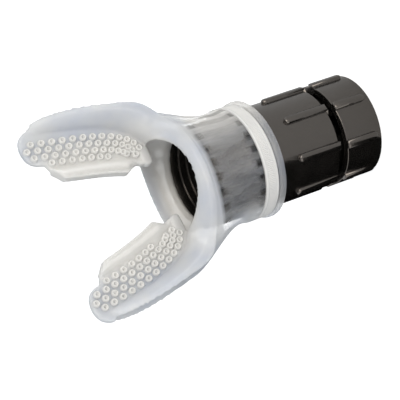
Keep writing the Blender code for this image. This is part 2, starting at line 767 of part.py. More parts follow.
def gum_flange(cutters, columns=44, across=10):
    """The gum flange from one wing's tip round the mouth opening to the other's. Its outer side is filled in
    between its rims where the wings leave the funnel."""
    rings = []
    for x in arch_stations(columns):
        base = arch_point(x)
        out = arch_outward(x)
        web = 1 - smooth_blend((abs(x) - FLANGE_WEB_START) / FLANGE_WEB_LENGTH)
        levels = [2 * j / across - 1 for j in range(across + 1)]
        ring = []
        for level in levels:
            ring.append(base + out * flange_lean(x, level) + Vector((0.0, level * flange_reach(x), 0.0)))
        for level in reversed(levels):
            lean = flange_lean(x, level)
            lean += web * (flange_lean(x, 1.0) - lean)
            ring.append(base + out * (lean + FLANGE_WALL) + Vector((0.0, level * flange_reach(x), 0.0)))
        rings.append(ring)
    return skin("gum_flange", rings, cutters)


def under_flange(x, y):
    """The height of the middle of the flange's wall over one place."""
    low = 0.0
    high = ARCH_HALF_WIDTH
    for _ in range(24):
        middle = (low + high) / 2
        level = min(abs(y) / flange_reach(middle), 1.0)
        out = arch_outward(middle)
        offset = flange_lean(middle, level) + FLANGE_WALL / 2
        if middle + out.x * offset < abs(x):
            low = middle
        else:
            high = middle
    return arch_point(low).z + out.z * offset


def funnel_point(z, angle):
    """The funnel's outside: a circle at the collar that becomes a lens across the wings."""
    share = (z - FUNNEL_Z) / FUNNEL_LENGTH
    wide = COLLAR_RADIUS + FUNNEL_SPREAD * smooth_blend(share**FUNNEL_EARLY)
    deep = COLLAR_RADIUS + FUNNEL_BULGE * smooth_blend(share)
    power = 2 / (2 - (2 - FUNNEL_SQUARENESS) * smooth_blend(share))
    across = math.cos(angle)
    side = math.sin(angle)
    return Vector((
        math.copysign(wide * abs(across) ** power, across),
        math.copysign(deep * abs(side) ** power, side),
        z,
    ))


def funnel_top(angle):
    """The height where the funnel's outside meets the flange, or the funnel's full length."""
    low = SPIGOT_END
    high = FUNNEL_Z + FUNNEL_LENGTH
    for _ in range(20):
        middle = (low + high) / 2
        point = funnel_point(middle, angle)
        if under_flange(point.x, point.y) > middle:
            low = middle
        else:
            high = middle
    return low


def collar_section():
    """The collar's section, from the air passage round its rear lip to the bead in front of the tie."""
    lip = COLLAR_RADIUS + LIP_HEIGHT
    rear = BARREL_END + CLEARANCE
    front = SPIGOT_END + CLEARANCE
    seat_start = BARREL_END + REAR_LIP_LENGTH
    seat_end = seat_start + TIE_WIDTH + 2 * CLEARANCE
    bead_end = seat_end + BEAD_LENGTH
    return [
        (THROAT_RADIUS - CLEARANCE, front),
        (COLLAR_BORE, front),
        (COLLAR_BORE, rear),
        (lip, rear),
        (lip, seat_start),
        (TIE_SEAT_RADIUS, seat_start),
        (TIE_SEAT_RADIUS, seat_end),
        (lip, seat_end),
        (lip, bead_end),
        (COLLAR_RADIUS, bead_end + LIP_HEIGHT),
    ]


def tube_rings(around=48, steps=9):
    """Collar and funnel as one skin, closed on top by three rings under the middle of the flange's wall."""
    angles = spread(around)
    rings = []
    for radius, height in collar_section():
        rings.append([Vector((radius * math.cos(a), radius * math.sin(a), height)) for a in angles])
    tops = [funnel_top(angle) for angle in angles]
    for i in range(steps + 1):
        share = i / steps
        rings.append([funnel_point(FUNNEL_Z + (top - FUNNEL_Z) * share, a) for a, top in zip(angles, tops)])
    edge = rings[-1]
    inner = THROAT_RADIUS - CLEARANCE
    for inset in (0.3, 0.6, 1.0):
        ring = []
        for angle, outer in zip(angles, edge):
            x = (1 - inset) * outer.x + inset * inner * math.cos(angle)
            y = (1 - inset) * outer.y + inset * inner * math.sin(angle)
            ring.append(Vector((x, y, min(under_flange(x, y), outer.z))))
        rings.append(ring)
    return rings


def air_passage(cutters, around=48):
    """What is cut out for the air: round at the spigot and flaring to the oval mouth opening."""
    rings = []
    for share in (-0.2, 0.0, 0.25, 0.5, 0.75, 1.0, 3.0):
        deep = THROAT_RADIUS + OPENING_BULGE * smooth_blend(share)
        height = SPIGOT_END + OPENING_FLARE_LENGTH * share
        rings.append([Vector((THROAT_RADIUS * math.cos(a), deep * math.sin(a), height)) for a in spread(around)])
    return skin("air_passage", rings, cutters)


def inner_crease(z):
    """Where a platform ends on the tongue side, at one height."""
    share = (z - ARCH_Z) / ARCH_DEPTH
    return ARCH_HALF_WIDTH * share ** (1 / ARCH_POWER) - PLATFORM_WIDTH * share**PLATFORM_TAPER


def platform_outline():
    """One bite platform seen square to the bite plane: up the tongue side, round the tip and back down the arch."""
    tip_z = ARCH_Z + ARCH_DEPTH
    root_z = ARCH_Z + PLATFORM_ROOT_RISE
    outline = []
    for i in range(11):
        z = root_z + (tip_z - root_z) * i / 10
        outline.append((inner_crease(z), z))
    left = inner_crease(tip_z) + PLATFORM_TIP_INSET
    right = ARCH_HALF_WIDTH + PLATFORM_TIP_OVERHANG
    for i in range(1, 14):
        level = -math.cos(math.pi * i / 13)
        rise = PLATFORM_TIP * (1 - abs(level) ** PLATFORM_TIP_SQUARENESS) ** (1 / PLATFORM_TIP_SQUARENESS)
        outline.append(((left + right) / 2 + (right - left) / 2 * level, tip_z + rise))
    half_wall = FLANGE_WALL / 2
    for i in range(15):
        along = (i / 14) ** 1.4
        x = ARCH_HALF_WIDTH - (ARCH_HALF_WIDTH - THROAT_RADIUS) * along
        point = arch_point(x) + arch_outward(x) * half_wall
        outline.append((point.x, point.z))
    return outline


def slab(name, outline, side, thickness, cutters):
    """A flat piece in the bite plane, from its outline on the +X side."""
    rings = [[Vector((side * x, y, z)) for x, z in outline] for y in (-thickness / 2, thickness / 2)]
    return skin(name, rings, cutters)


def tongue_band(side, cutters, columns=16):
    """The low band along one platform, thickest at its free edge, with a groove down the middle of that edge."""
    section = list(BAND_SECTION) + [(inward, -rise) for inward, rise in reversed(BAND_SECTION[:-1])]
    root_z = ARCH_Z + PLATFORM_ROOT_RISE
    tip_z = ARCH_Z + ARCH_DEPTH - BAND_TIP_GAP
    rings = []
    for i in range(columns + 1):
        share = i / columns
        z = root_z + (tip_z - root_z) * (share + 0.5 * (1 - math.cos(math.pi * share))) / 2
        slope = (inner_crease(z + 0.1) - inner_crease(z - 0.1)) / 0.2
        inward = Vector((-1.0, 0.0, slope)).normalized()
        grown = smooth_blend((z - root_z - BAND_ROOT_LENGTH / 3) / BAND_ROOT_LENGTH)
        width = BAND_WIDTH + (BAND_TIP_WIDTH - BAND_WIDTH) * share
        width = BAND_ROOT_WIDTH + (width - BAND_ROOT_WIDTH) * grown
        width *= rounded_end(tip_z - z + 0.2, BAND_END_ROUND)
        height = (BAND_ROOT_HEIGHT + (BAND_HEIGHT - BAND_ROOT_HEIGHT) * grown) / 2
        ring = []
        for along, rise in section:
            point = Vector((inner_crease(z), 0.0, z)) + inward * (along * width)
            ring.append(Vector((side * point.x, -rise * height, point.z)))
        rings.append(ring)
    return skin("tongue_band", rings, cutters)


def root_tab(side, cutters):
    """The small round-ended tab by the mouth opening, at the root of one platform."""
    half = TAB_WIDTH / 2
    z = ARCH_Z + PLATFORM_ROOT_RISE
    root = inner_crease(z) + half
    centre = root - TAB_LENGTH + half
    outline = [(root + half, z + half)]
    for i in range(9):
        angle = math.pi / 2 + math.pi * i / 8
        outline.append((centre + half * math.cos(angle), z + half * math.sin(angle)))
    outline.append((root + half, z - half))
    return slab("root_tab", outline, side, TAB_THICKNESS, cutters)


def build_mouthpiece(parts, cutters, silicone):
    """Collar, funnel, gum flange, bite platforms and the bands on their tongue side, as one silicone moulding."""
    mouthpiece = skin("mouthpiece", tube_rings(), parts, silicone, capped=False)
    combine(mouthpiece, "UNION", gum_flange(cutters))
    combine(mouthpiece, "DIFFERENCE", air_passage(cutters))
    for side in (-1, 1):
        platform = slab("bite_platform", platform_outline(), side, PLATFORM_THICKNESS, cutters)
        combine(mouthpiece, "UNION", platform, tongue_band(side, cutters), root_tab(side, cutters))
    return mouthpiece


def main():
    for obj in list(bpy.data.objects):
        bpy.data.objects.remove(obj, do_unlink=True)
    parts = new_collection("breathing_trainer")
    cutters = new_collection("cutters")
    black = new_material("black_plastic", (0.015, 0.014, 0.013), 0.32)
    grey = new_material("grey_plastic", (0.30, 0.31, 0.32), 0.45)
    nylon = new_material("white_nylon", (0.86, 0.86, 0.85), 0.4)
    rubber = new_material("black_rubber", (0.03, 0.03, 0.03), 0.7)
    silicone = new_material("clear_silicone", (0.82, 0.84, 0.87), 0.35, 0.6)
    steel = new_metal("spring_steel", (0.62, 0.62, 0.61), 0.3)
    build_mouthpiece(parts, cutters, silicone)
    build_cable_tie(parts, cutters, nylon)
    build_barrel(parts, cutters, black)
    build_seat_plate(parts, cutters, grey)
    build_seat_rings(parts, cutters, rubber, silicone, steel)
    build_plug(parts, cutters, grey)
    build_plug_seal(parts, rubber)
    build_thrust_washer(parts, nylon)
    build_stem_clip(parts, cutters, steel)
    build_stem(parts, steel)
    build_dial(parts, cutters, black)
    build_o_ring(parts, rubber)
    build_travel_clip(parts, cutters, steel)


main()
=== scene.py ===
"""Looks for the breathing trainer: a milky silicone mouthpiece, its toothed tie and the moulded plastics.

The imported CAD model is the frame. Sizes are in millimetres in the CAD's own axes: the tube runs along Z, the
bite lies in the XZ plane and the photographed side faces -Y. Each piece and each kind of material has its own
function, and main() puts them together.
"""

import math

import bmesh
import bpy
from mathutils import Matrix, Vector


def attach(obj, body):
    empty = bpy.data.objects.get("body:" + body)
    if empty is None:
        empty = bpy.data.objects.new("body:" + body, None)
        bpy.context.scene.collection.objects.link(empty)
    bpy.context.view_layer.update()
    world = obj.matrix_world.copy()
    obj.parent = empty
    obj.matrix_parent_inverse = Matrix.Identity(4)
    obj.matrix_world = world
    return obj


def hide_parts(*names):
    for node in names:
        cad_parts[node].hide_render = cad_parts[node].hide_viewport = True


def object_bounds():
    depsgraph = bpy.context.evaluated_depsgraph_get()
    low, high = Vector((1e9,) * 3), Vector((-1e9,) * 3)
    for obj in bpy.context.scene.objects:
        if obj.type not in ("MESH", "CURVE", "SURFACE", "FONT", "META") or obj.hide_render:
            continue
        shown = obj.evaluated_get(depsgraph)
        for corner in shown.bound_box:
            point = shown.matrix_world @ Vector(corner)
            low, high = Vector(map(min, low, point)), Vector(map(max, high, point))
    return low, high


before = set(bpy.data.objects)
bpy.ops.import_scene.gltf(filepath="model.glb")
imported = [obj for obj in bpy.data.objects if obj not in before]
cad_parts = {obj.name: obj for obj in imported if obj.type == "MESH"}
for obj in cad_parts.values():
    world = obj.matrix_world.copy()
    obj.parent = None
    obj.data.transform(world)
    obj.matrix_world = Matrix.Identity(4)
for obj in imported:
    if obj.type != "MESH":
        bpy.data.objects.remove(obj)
cad_low, cad_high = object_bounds()

# A millimetre in metres, the CAD's gap between pieces that touch, and a number next to zero
MM = 0.001
CLEARANCE = 0.3
TINY = 1e-9

# Camera at the photograph's viewing angle
CAMERA_PLACE = (-116.82, -456.86, 295.54)
CAMERA_RIGHT = (-0.42348, -0.33447, -0.84190)
CAMERA_UP = (0.88136, -0.36698, -0.29754)
CAMERA_LENS = 162.0
CAMERA_SENSOR = 36.0
CAMERA_NEAR = 0.01
CAMERA_FAR = 20.0

# Heights from the dial's flat end up the tube
DIAL_HEIGHT = 12.6
BARREL_END = 36.2
SPIGOT_END = 56.8

# Collar, with its lip, the tie's seat and a bead beyond the seat
COLLAR_BORE = 15.4
COLLAR_RADIUS = 17.1
LIP_RADIUS = 18.1
LIP_ROUND = 0.4
LIP_FRONT_ROUND = 0.3
TIE_SEAT_RADIUS = 16.1
BEAD_RADIUS = 17.5
BEAD_END = 46.0
BEAD_ROUND = 0.2
BEAD_ROUND_LENGTH = 0.3
BEAD_SLOPE_START = 0.8
BEAD_SLOPE_END = 0.6
BEAD_FOOT = 0.1

# Throat and mouth opening
THROAT_NECK = 13.2
THROAT_RADIUS = 14.6
THROAT_CUT = 0.3
OPENING_BULGE = 1.4
OPENING_FLARE_LENGTH = 7.0

# Funnel, from the round collar to the wings
FUNNEL_Z = 48.0
FUNNEL_LENGTH = 26.0
FUNNEL_SPREAD = 10.8
FUNNEL_BULGE = 0.5
FUNNEL_EARLY = 0.97
FUNNEL_SQUARENESS = 1.5
FUNNEL_CAP_INSETS = (0.3, 0.6, 1.0)

# Gum flange along an arch whose height grows with a power of the place across
ARCH_Z = 67.0
ARCH_HALF_WIDTH = 27.6
ARCH_DEPTH = 31.0
ARCH_POWER = 5.7
ARCH_SAMPLES = 1200
ARM_END = 27.85
FLANGE_WALL = 1.8
FLANGE_MID_REACH = 18.0
FLANGE_ARM_REACH = 8.2
FLANGE_REACH_TAPER = 0.38
FLANGE_FLARE = 4.2
FLANGE_FLARE_TAPER = 0.28
FLANGE_CURL = 6.0
FLANGE_ARM_CURL = 2.0
FLANGE_ARM_START = 12.0
FLANGE_ARM_BLEND = 10.0
FLANGE_WEB_START = 21.0
FLANGE_WEB_LENGTH = 4.5
FLANGE_ROOT = 19.0
FLANGE_ROOT_SPREAD = 4.6
FLANGE_ROOT_WALL = 1.5

# Bite platforms with their bands and tabs
PLATFORM_THICKNESS = 2.0
PLATFORM_WIDTH = 10.8
PLATFORM_TAPER = 0.11
PLATFORM_ROOT_RISE = 3.0
PLATFORM_TIP = 6.2
PLATFORM_TIP_SQUARENESS = 2.4
PLATFORM_TIP_INSET = 2.3
PLATFORM_TIP_OVERHANG = 2.9
BAND_ROOT_WIDTH = 1.6
BAND_WIDTH = 5.4
BAND_TIP_WIDTH = 3.0
BAND_HEIGHT = 5.4
BAND_ROOT_HEIGHT = 3.0
BAND_ROOT_LENGTH = 4.0
BAND_TIP_GAP = 0.2
BAND_END_LENGTH = 3.4
BAND_END_SHARE = 0.1
TAB_WIDTH = 3.0
TAB_LENGTH = 4.2
TAB_THICKNESS = 3.0
TAB_DROP = 1.2
TAB_OFFSET = 0.9

# Half of a band's section: (share of its width towards the tongue, share of its half height)
BAND_SECTION = (
    (-0.12, 0.38),
    (0.0, 0.50),
    (0.10, 0.52),
    (0.24, 0.80),
    (0.40, 0.98),
    (0.56, 0.98),
    (0.68, 0.80),
    (0.76, 0.50),
    (0.84, 0.54),
    (0.93, 0.76),
    (1.0, 0.60),
    (0.98, 0.26),
    (0.94, 0.0),
)

# The soft wings lean a little to -X in the photograph
WING_LEAN = 1.0
WING_LEAN_START = 68.0
WING_LEAN_LENGTH = 28.0

# Fineness of the silicone's skin, and how much its edges melt into fillets
VOXEL = 0.38
FILLET_FACTOR = 0.5
FILLET_PASSES = 5

# Chewing nubs in rows along the arch, run on straight past its tip
NUB_FIRST_ROW = 2.1
NUB_ROW_STEP = 2.12
NUB_ROWS = 6
NUB_ROW_SHIFTS = (0.25, 0.75)
NUB_ROOT_PITCH = 2.7
NUB_TIP_PITCH = 3.3
NUB_PITCH_RISE = 24.0
NUB_MARGIN = 0.7
NUB_TIP_MARGIN = 1.3
NUB_TIP_ZONE = 3.0
NUB_PATH_START = 10.0
NUB_PATH_ONWARD = 8.0
NUB_PATH_STEP = 0.05
NUB_RADIUS = 1.08
NUB_HOLE = 0.5
NUB_HEIGHT = 0.9
NUB_SINK = 0.08

# A nub's section from its foot over the rim, down the hole and back below the platform: (radius, height)
NUB_SECTION = (
    (NUB_RADIUS + 0.14, 0.0),
    (NUB_RADIUS, 0.22),
    (NUB_RADIUS - 0.05, NUB_HEIGHT - 0.3),
    (NUB_RADIUS - 0.18, NUB_HEIGHT - 0.08),
    (NUB_RADIUS - 0.34, NUB_HEIGHT),
    (NUB_HOLE + 0.08, NUB_HEIGHT - 0.1),
    (NUB_HOLE, NUB_HEIGHT - 0.28),
    (NUB_HOLE * 0.8, NUB_HEIGHT - 0.7),
    (NUB_HOLE * 0.3, NUB_HEIGHT - 0.75),
    (NUB_HOLE * 0.3, -0.15),
    (NUB_RADIUS, -0.15),
)

# Tie: a strap with fine cross teeth between two plain rails
TIE_START = 38.9
TIE_END = 43.3
TIE_OUTER = 17.5
TIE_SLACK = 0.1
STRAP_INSET = 0.05
STRAP_INNER_EDGE = 0.3
STRAP_OUTER_EDGE = 0.25
STRAP_RAIL = 0.7
STRAP_RAIL_SLOPE = 0.1
STRAP_RECESS = 0.04
TOOTH_COUNT = 200
TOOTH_DEPTH = 0.2
TIE_SHARP_ANGLE = math.radians(40)

# Ratchet head of the tie, on its root, with the cut tail through its slot
HEAD_ANGLE = math.radians(75)
HEAD_START = 18.0
HEAD_HEIGHT = 4.2
HEAD_LENGTH = 6.4
HEAD_WIDTH = 5.6
HEAD_EDGE = 0.35
ROOT_SINK = 0.5
ROOT_LAP = 1.0
ROOT_INSET = 0.4
TAIL_LENGTH = 2.4
TAIL_HALF_THICKNESS = 0.5
TAIL_INSET = 0.3
TAIL_EDGE = 0.2

# Black plastics, with their grip ribs at the height and the turn that the photograph shows
BARREL_RADIUS = 15.3
BARREL_TURN = math.radians(3.5)
DIAL_RADIUS = 15.5
DIAL_TURN = math.radians(1.0)
DIAL_CAD_EDGE = 0.6
DIAL_EDGE = 0.15
RIB_SHARE = 0.85
SPIGOT_STRETCH = 2.2
SPIGOT_MARGIN = 1.0
NEAR = 0.1
WELD = 0.001
RIB_SHARP_ANGLE = math.radians(30)

# Studio: white to the eye, dimmer where it only lights
AMBIENT = 0.55
AMBIENT_TINT = (0.90, 0.95, 1.0)
WHITE = (1.0, 1.0, 1.0)
FLOOR_REACH = 900.0
FLOOR_Z = -0.3
FLOOR_GLOW = 0.7
FLOOR_DARK = (0.86, 0.86, 0.86)
FLOOR_PALE = (0.88, 0.88, 0.88)

# Lights, with their places and sizes in metres
LIGHTS = {
    "key": {"place": (0.25, -0.95, 0.65), "size": 0.9, "power": 9.0, "colour": (1.0, 0.95, 0.87)},
    "fill": {"place": (-0.95, -0.3, 0.3), "size": 0.8, "power": 2.0, "colour": (1.0, 0.96, 0.90)},
}

# Dark card on the floor that only reflections see, on the side away from the light
CARD_FROM = math.radians(-131)
CARD_TO = math.radians(-290)
CARD_HOLE = 5.0
CARD_RADIUS = 500.0
CARD_Z = -0.2
CARD_STEPS = 36

# Tones of the silicone, with paler painted light on the platforms, on the collar's lit side and in the throat,
# and the zones in which one fades into the next
BLUISH_DARK = (0.51, 0.54, 0.61)
BLUISH_PALE = (0.61, 0.62, 0.635)
PLATFORM_PAINTED_LIGHT = (0.73, 0.72, 0.70, 1.0)
LIT_TONE = (0.86, 0.84, 0.81, 1.0)
THROAT_PAINTED_LIGHT = (0.64, 0.625, 0.60, 1.0)
PLATFORM_PAINTED_LIGHT_ZONE = (17.0, 22.0)
WING_ZONE = (66.0, 71.0)
LIT_HEIGHT_ZONE = (SPIGOT_END - 1.0, SPIGOT_END + 2.5)
LIT_SIDE_ZONE = (3.0, 13.0)
THROAT_PAINTED_LIGHT_ZONE = (15.0, 16.5)
SILICONE_IOR = 1.41
SILICONE_DEPTH = 4.0

# How milky the silicone is: the wings, the lip, and the collar with the spigot's splines showing through
WING_MILK = 0.88
MILKY_ZONE = (SPIGOT_END - 0.4, SPIGOT_END + 1.2)
OUTER_SKIN_ZONE = (14.6, 15.2)
LIP_MILK = 0.32
LIP_SIDE_MILK = 0.4
LIP_ZONE = (TIE_START + 0.5, TIE_START + 1.5)
UPPER_SIDE = (0.1, 1.0)
LOWER_SIDE = (-0.88, -0.99)
COLLAR_MILK = 0.15
COLLAR_STREAK = 0.07
COLLAR_SIDE_MILK = 0.75
COLLAR_CONTACT = 0.12
COLLAR_SIDE_CONTACT = 0.5
SPLINE_COUNT = 24.0
SPLINE_ANGLE = math.radians(10)
SPLINE_SOFTNESS = 0.35
SPLINE_END_ZONE = (5.2, 6.2)

# Plastics and rubbers by the CAD's material slot
WARM_GLINT = (1.0, 0.91, 0.84, 1.0)
PLASTICS = {
    "white_nylon": {
        "name": "nylon_white",
        "dark": (0.68, 0.68, 0.68),
        "pale": (0.72, 0.72, 0.71),
        "roughness": (0.38, 0.5),
        "specular": 0.4,
        "edge": 0.25,
    },
    "black_plastic": {
        "name": "plastic_black",
        "dark": (0.004, 0.0038, 0.0035),
        "pale": (0.007, 0.0065, 0.006),
        "roughness": (0.18, 0.24),
        "specular": 1.3,
        "edge": 0.1,
    },
    "grey_plastic": {
        "name": "plastic_grey",
        "dark": (0.05, 0.045, 0.04),
        "pale": (0.07, 0.065, 0.06),
        "roughness": (0.4, 0.5),
        "specular": 0.4,
        "edge": 0.25,
    },
    "black_rubber": {
        "name": "rubber_black",
        "dark": (0.012, 0.012, 0.012),
        "pale": (0.02, 0.02, 0.02),
        "roughness": (0.6, 0.75),
        "specular": 0.3,
        "edge": 0.1,
    },
}

# CAD nodes that keep their own mesh and only get a finish
DRESSED_NODES = {
    "grey_plastic": ("seat_plate", "valve_plug"),
    "black_rubber": ("seat_gasket", "neck_o_ring", "plug_seal"),
    "spring_steel": ("snap_ring", "flap_clip", "travel_clip", "stem_clip", "stem"),
    "white_nylon": ("thrust_washer",),
    "clear_silicone": ("exhale_flap",),
}


def smooth_blend(value):
    """0 below 0, 1 above 1, and an S curve between."""
    value = min(max(value, 0.0), 1.0)
    return value * value * (3 - 2 * value)


def mix(a, b, share):
    """The value that lies a share of the way from a to b."""
    return a + (b - a) * share


def new_object(name, data):
    obj = bpy.data.objects.new(name, data)
    bpy.context.scene.collection.objects.link(obj)
    return obj


def mesh_object(name, points, faces):
    """An object from points in millimetres."""
    mesh = bpy.data.meshes.new(name)
    mesh.from_pydata([tuple(Vector(point) * MM) for point in points], [], faces)
    mesh.update()
    return new_object(name, mesh)


def grid_faces(rows, columns, close_rows=False, close_columns=False, start=0):
    """Quads of a grid whose points are numbered row by row."""
    faces = []
    for i in range(rows if close_rows else rows - 1):
        for j in range(columns if close_columns else columns - 1):
            a = start + i * columns + j
            b = start + i * columns + (j + 1) % columns
            c = start + (i + 1) % rows * columns + (j + 1) % columns
            d = start + (i + 1) % rows * columns + j
            faces.append((a, b, c, d))
    return faces


def facing_out(obj):
    """The same object with all its normals pointing outward."""
    bm = bmesh.new()
    bm.from_mesh(obj.data)
    bmesh.ops.recalc_face_normals(bm, faces=bm.faces)
    bm.to_mesh(obj.data)
    bm.free()
    return obj


def ring_stack(name, rings):
    """A closed skin through rings of equal length, from the first to the last and back to the first."""
    points = [point for ring in rings for point in ring]
    return facing_out(mesh_object(name, points, grid_faces(len(rings), len(rings[0]), True, True)))


def capped_stack(name, rings):
    """A closed skin through rings of equal length, with a flat cap on the first and the last."""
    points = [point for ring in rings for point in ring]
    count = len(rings[0])
    faces = grid_faces(len(rings), count, False, True)
    faces.append(tuple(range(count)))
    faces.append(tuple(range(len(points) - count, len(points))))
    return facing_out(mesh_object(name, points, faces))


def apply_modifiers(obj):
    graph = bpy.context.evaluated_depsgraph_get()
    mesh = bpy.data.meshes.new_from_object(obj.evaluated_get(graph))
    obj.modifiers.clear()
    obj.data = mesh
    return obj


def cut(obj, cutter):
    """The object without what the cutter covers. The cutter is used up."""
    modifier = obj.modifiers.new("Cut", "BOOLEAN")
    modifier.operation = "DIFFERENCE"
    modifier.object = cutter
    modifier.solver = "EXACT"
    apply_modifiers(obj)
    bpy.data.objects.remove(cutter, do_unlink=True)
    return obj


def joined(name, objects):
    """All the meshes in one object."""
    points = []
    faces = []
    for obj in objects:
        start = len(points)
        points += [vert.co / MM for vert in obj.data.vertices]
        faces += [tuple(start + index for index in face.vertices) for face in obj.data.polygons]
        bpy.data.objects.remove(obj, do_unlink=True)
    return mesh_object(name, points, faces)


def round_angles(count):
    return [2 * math.pi * i / count for i in range(count)]


def arch_point(x):
    """The tooth side of the gum flange in the bite plane, at one place across."""
    return Vector((x, 0.0, ARCH_Z + ARCH_DEPTH * (abs(x) / ARCH_HALF_WIDTH) ** ARCH_POWER))


def arch_outward(x):
    """The direction from the teeth to the lips, square to the arch in the bite plane."""
    slope = ARCH_DEPTH * ARCH_POWER / ARCH_HALF_WIDTH * (abs(x) / ARCH_HALF_WIDTH) ** (ARCH_POWER - 1)
    return Vector((math.copysign(slope, x), 0.0, -1.0)).normalized()


def arch_stations(count, even=0.4):
    """Places across from tip to tip, closer together towards both ends of the arch."""
    fine = [ARM_END * (2 * i / ARCH_SAMPLES - 1) for i in range(ARCH_SAMPLES + 1)]
    lengths = [0.0]
    for a, b in zip(fine, fine[1:]):
        lengths.append(lengths[-1] + (arch_point(b) - arch_point(a)).length)
    stations = []
    index = 0
    for i in range(count + 1):
        share = i / count
        wanted = lengths[-1] * mix(0.5 * (1 - math.cos(math.pi * share)), share, even)
        while index < ARCH_SAMPLES and lengths[index] < wanted - TINY:
            index += 1
        stations.append(fine[index])
    return stations


def arm_share(x):
    """0 at a wing's tip and 1 at the mouth opening."""
    return max(1 - (abs(x) / ARM_END) ** ARCH_POWER, 0.0)


def flange_reach(x):
    """How far the flange stands to each side of the bite plane."""
    arm = FLANGE_ARM_REACH * arm_share(x) ** FLANGE_REACH_TAPER
    circle = math.sqrt(max(FLANGE_MID_REACH**2 - x * x, 0.0))
    return max((circle**4 + arm**4) ** 0.25, PLATFORM_THICKNESS / 2)


def flange_lean(x, level):
    """How far the flange leans outward at a level from 0, in the bite plane, to 1 at its rim."""
    arm = smooth_blend((abs(x) - FLANGE_ARM_START) / FLANGE_ARM_BLEND)
    curl = mix(FLANGE_CURL, FLANGE_ARM_CURL, arm)
    return FLANGE_FLARE * arm_share(x) ** FLANGE_FLARE_TAPER * abs(level) ** curl


def make_flange(columns=120, across=24):
    """The gum flange from one wing's tip round the mouth opening to the other's, as one closed skin."""
    levels = [2 * j / across - 1 for j in range(across + 1)]
    rings = []
    for x in arch_stations(columns):
        base = arch_point(x)
        out = arch_outward(x)
        web = 1 - smooth_blend((abs(x) - FLANGE_WEB_START) / FLANGE_WEB_LENGTH)
        root = smooth_blend(1 - abs(abs(x) - FLANGE_ROOT) / FLANGE_ROOT_SPREAD)
        wall = FLANGE_WALL + FLANGE_ROOT_WALL * root
        reach = flange_reach(x)
        ring = [base + out * flange_lean(x, level) + Vector((0.0, level * reach, 0.0)) for level in levels]
        for level in reversed(levels):
            lean = mix(flange_lean(x, level), flange_lean(x, 1.0), web)
            ring.append(base + out * (lean + wall) + Vector((0.0, level * reach, 0.0)))
        rings.append(ring)
    return capped_stack("flange", rings)


def under_flange(x, y, halvings=24):
    """The height of the middle of the flange's wall over one place."""
    low = 0.0
    high = ARCH_HALF_WIDTH
    for _ in range(halvings):
        middle = (low + high) / 2
        level = min(abs(y) / flange_reach(middle), 1.0)
        out = arch_outward(middle)
        offset = flange_lean(middle, level) + FLANGE_WALL / 2
        if middle + out.x * offset < abs(x):
            low = middle
        else:
            high = middle
    return arch_point(low).z + out.z * offset


def funnel_point(z, angle):
    """The funnel's outside: a circle at the collar that becomes a lens across the wings."""
    share = (z - FUNNEL_Z) / FUNNEL_LENGTH
    wide = COLLAR_RADIUS + FUNNEL_SPREAD * smooth_blend(share**FUNNEL_EARLY)
    deep = COLLAR_RADIUS + FUNNEL_BULGE * smooth_blend(share)
    power = 2 / mix(2.0, FUNNEL_SQUARENESS, smooth_blend(share))
    across = math.cos(angle)
    side = math.sin(angle)
    return Vector((
        math.copysign(wide * abs(across) ** power, across),
        math.copysign(deep * abs(side) ** power, side),
        z,
    ))


def funnel_top(angle, halvings=20):
    """The height where the funnel's outside meets the flange, or the funnel's full length."""
    low = SPIGOT_END
    high = FUNNEL_Z + FUNNEL_LENGTH
    for _ in range(halvings):
        middle = (low + high) / 2
        point = funnel_point(middle, angle)
        if under_flange(point.x, point.y) > middle:
            low = middle
        else:
            high = middle
    return low


def collar_profile():
    """The collar's section from the throat down the bore and up the outside: (radius, height)."""
    back = BARREL_END + CLEARANCE
    front = SPIGOT_END + CLEARANCE
    seat_low = TIE_START - TIE_SLACK
    seat_high = TIE_END + TIE_SLACK
    return (
        (THROAT_NECK - THROAT_CUT, front),
        (COLLAR_BORE, front),
        (COLLAR_BORE, back),
        (LIP_RADIUS - LIP_ROUND, back),
        (LIP_RADIUS, back + LIP_ROUND),
        (LIP_RADIUS, seat_low - LIP_ROUND),
        (LIP_RADIUS - LIP_FRONT_ROUND, seat_low),
        (TIE_SEAT_RADIUS, seat_low),
        (TIE_SEAT_RADIUS, seat_high),
        (BEAD_RADIUS - BEAD_ROUND, seat_high),
        (BEAD_RADIUS, seat_high + BEAD_ROUND_LENGTH),
        (BEAD_RADIUS, BEAD_END - BEAD_SLOPE_START),
        (COLLAR_RADIUS + BEAD_FOOT, BEAD_END + BEAD_SLOPE_END),
    )


def make_tube(around=120, steps=24):
    """Collar and funnel as one skin, closed on top by three rings inside the flange's wall."""
    angles = round_angles(around)
    rings = [[Vector((r * math.cos(a), r * math.sin(a), z)) for a in angles] for r, z in collar_profile()]
    tops = [funnel_top(angle) for angle in angles]
    for i in range(steps + 1):
        rings.append([funnel_point(mix(FUNNEL_Z, top, i / steps), a) for a, top in zip(angles, tops)])
    edge = rings[-1]
    inner = THROAT_NECK - THROAT_CUT
    for inset in FUNNEL_CAP_INSETS:
        ring = []
        for angle, outer in zip(angles, edge):
            x = mix(outer.x, inner * math.cos(angle), inset)
            y = mix(outer.y, inner * math.sin(angle), inset)
            ring.append(Vector((x, y, min(under_flange(x, y), outer.z))))
        rings.append(ring)
    return ring_stack("tube", rings)


def make_passage(around=96, steps=5, lengths=3):
    """What is cut out for the air: round at the spigot, which it covers, and flaring to the oval opening."""
    rings = []
    for i in range(-1, lengths * steps + 1):
        share = i / steps
        wide = mix(THROAT_NECK, THROAT_RADIUS, smooth_blend(share))
        deep = wide + OPENING_BULGE * smooth_blend(share)
        z = SPIGOT_END + OPENING_FLARE_LENGTH * share
        rings.append([Vector((wide * math.cos(a), deep * math.sin(a), z)) for a in round_angles(around)])
    return capped_stack("passage", rings)


def inner_crease(z):
    """Where a platform ends on the tongue side, at one height."""
    share = (z - ARCH_Z) / ARCH_DEPTH
    return ARCH_HALF_WIDTH * share ** (1 / ARCH_POWER) - PLATFORM_WIDTH * share**PLATFORM_TAPER


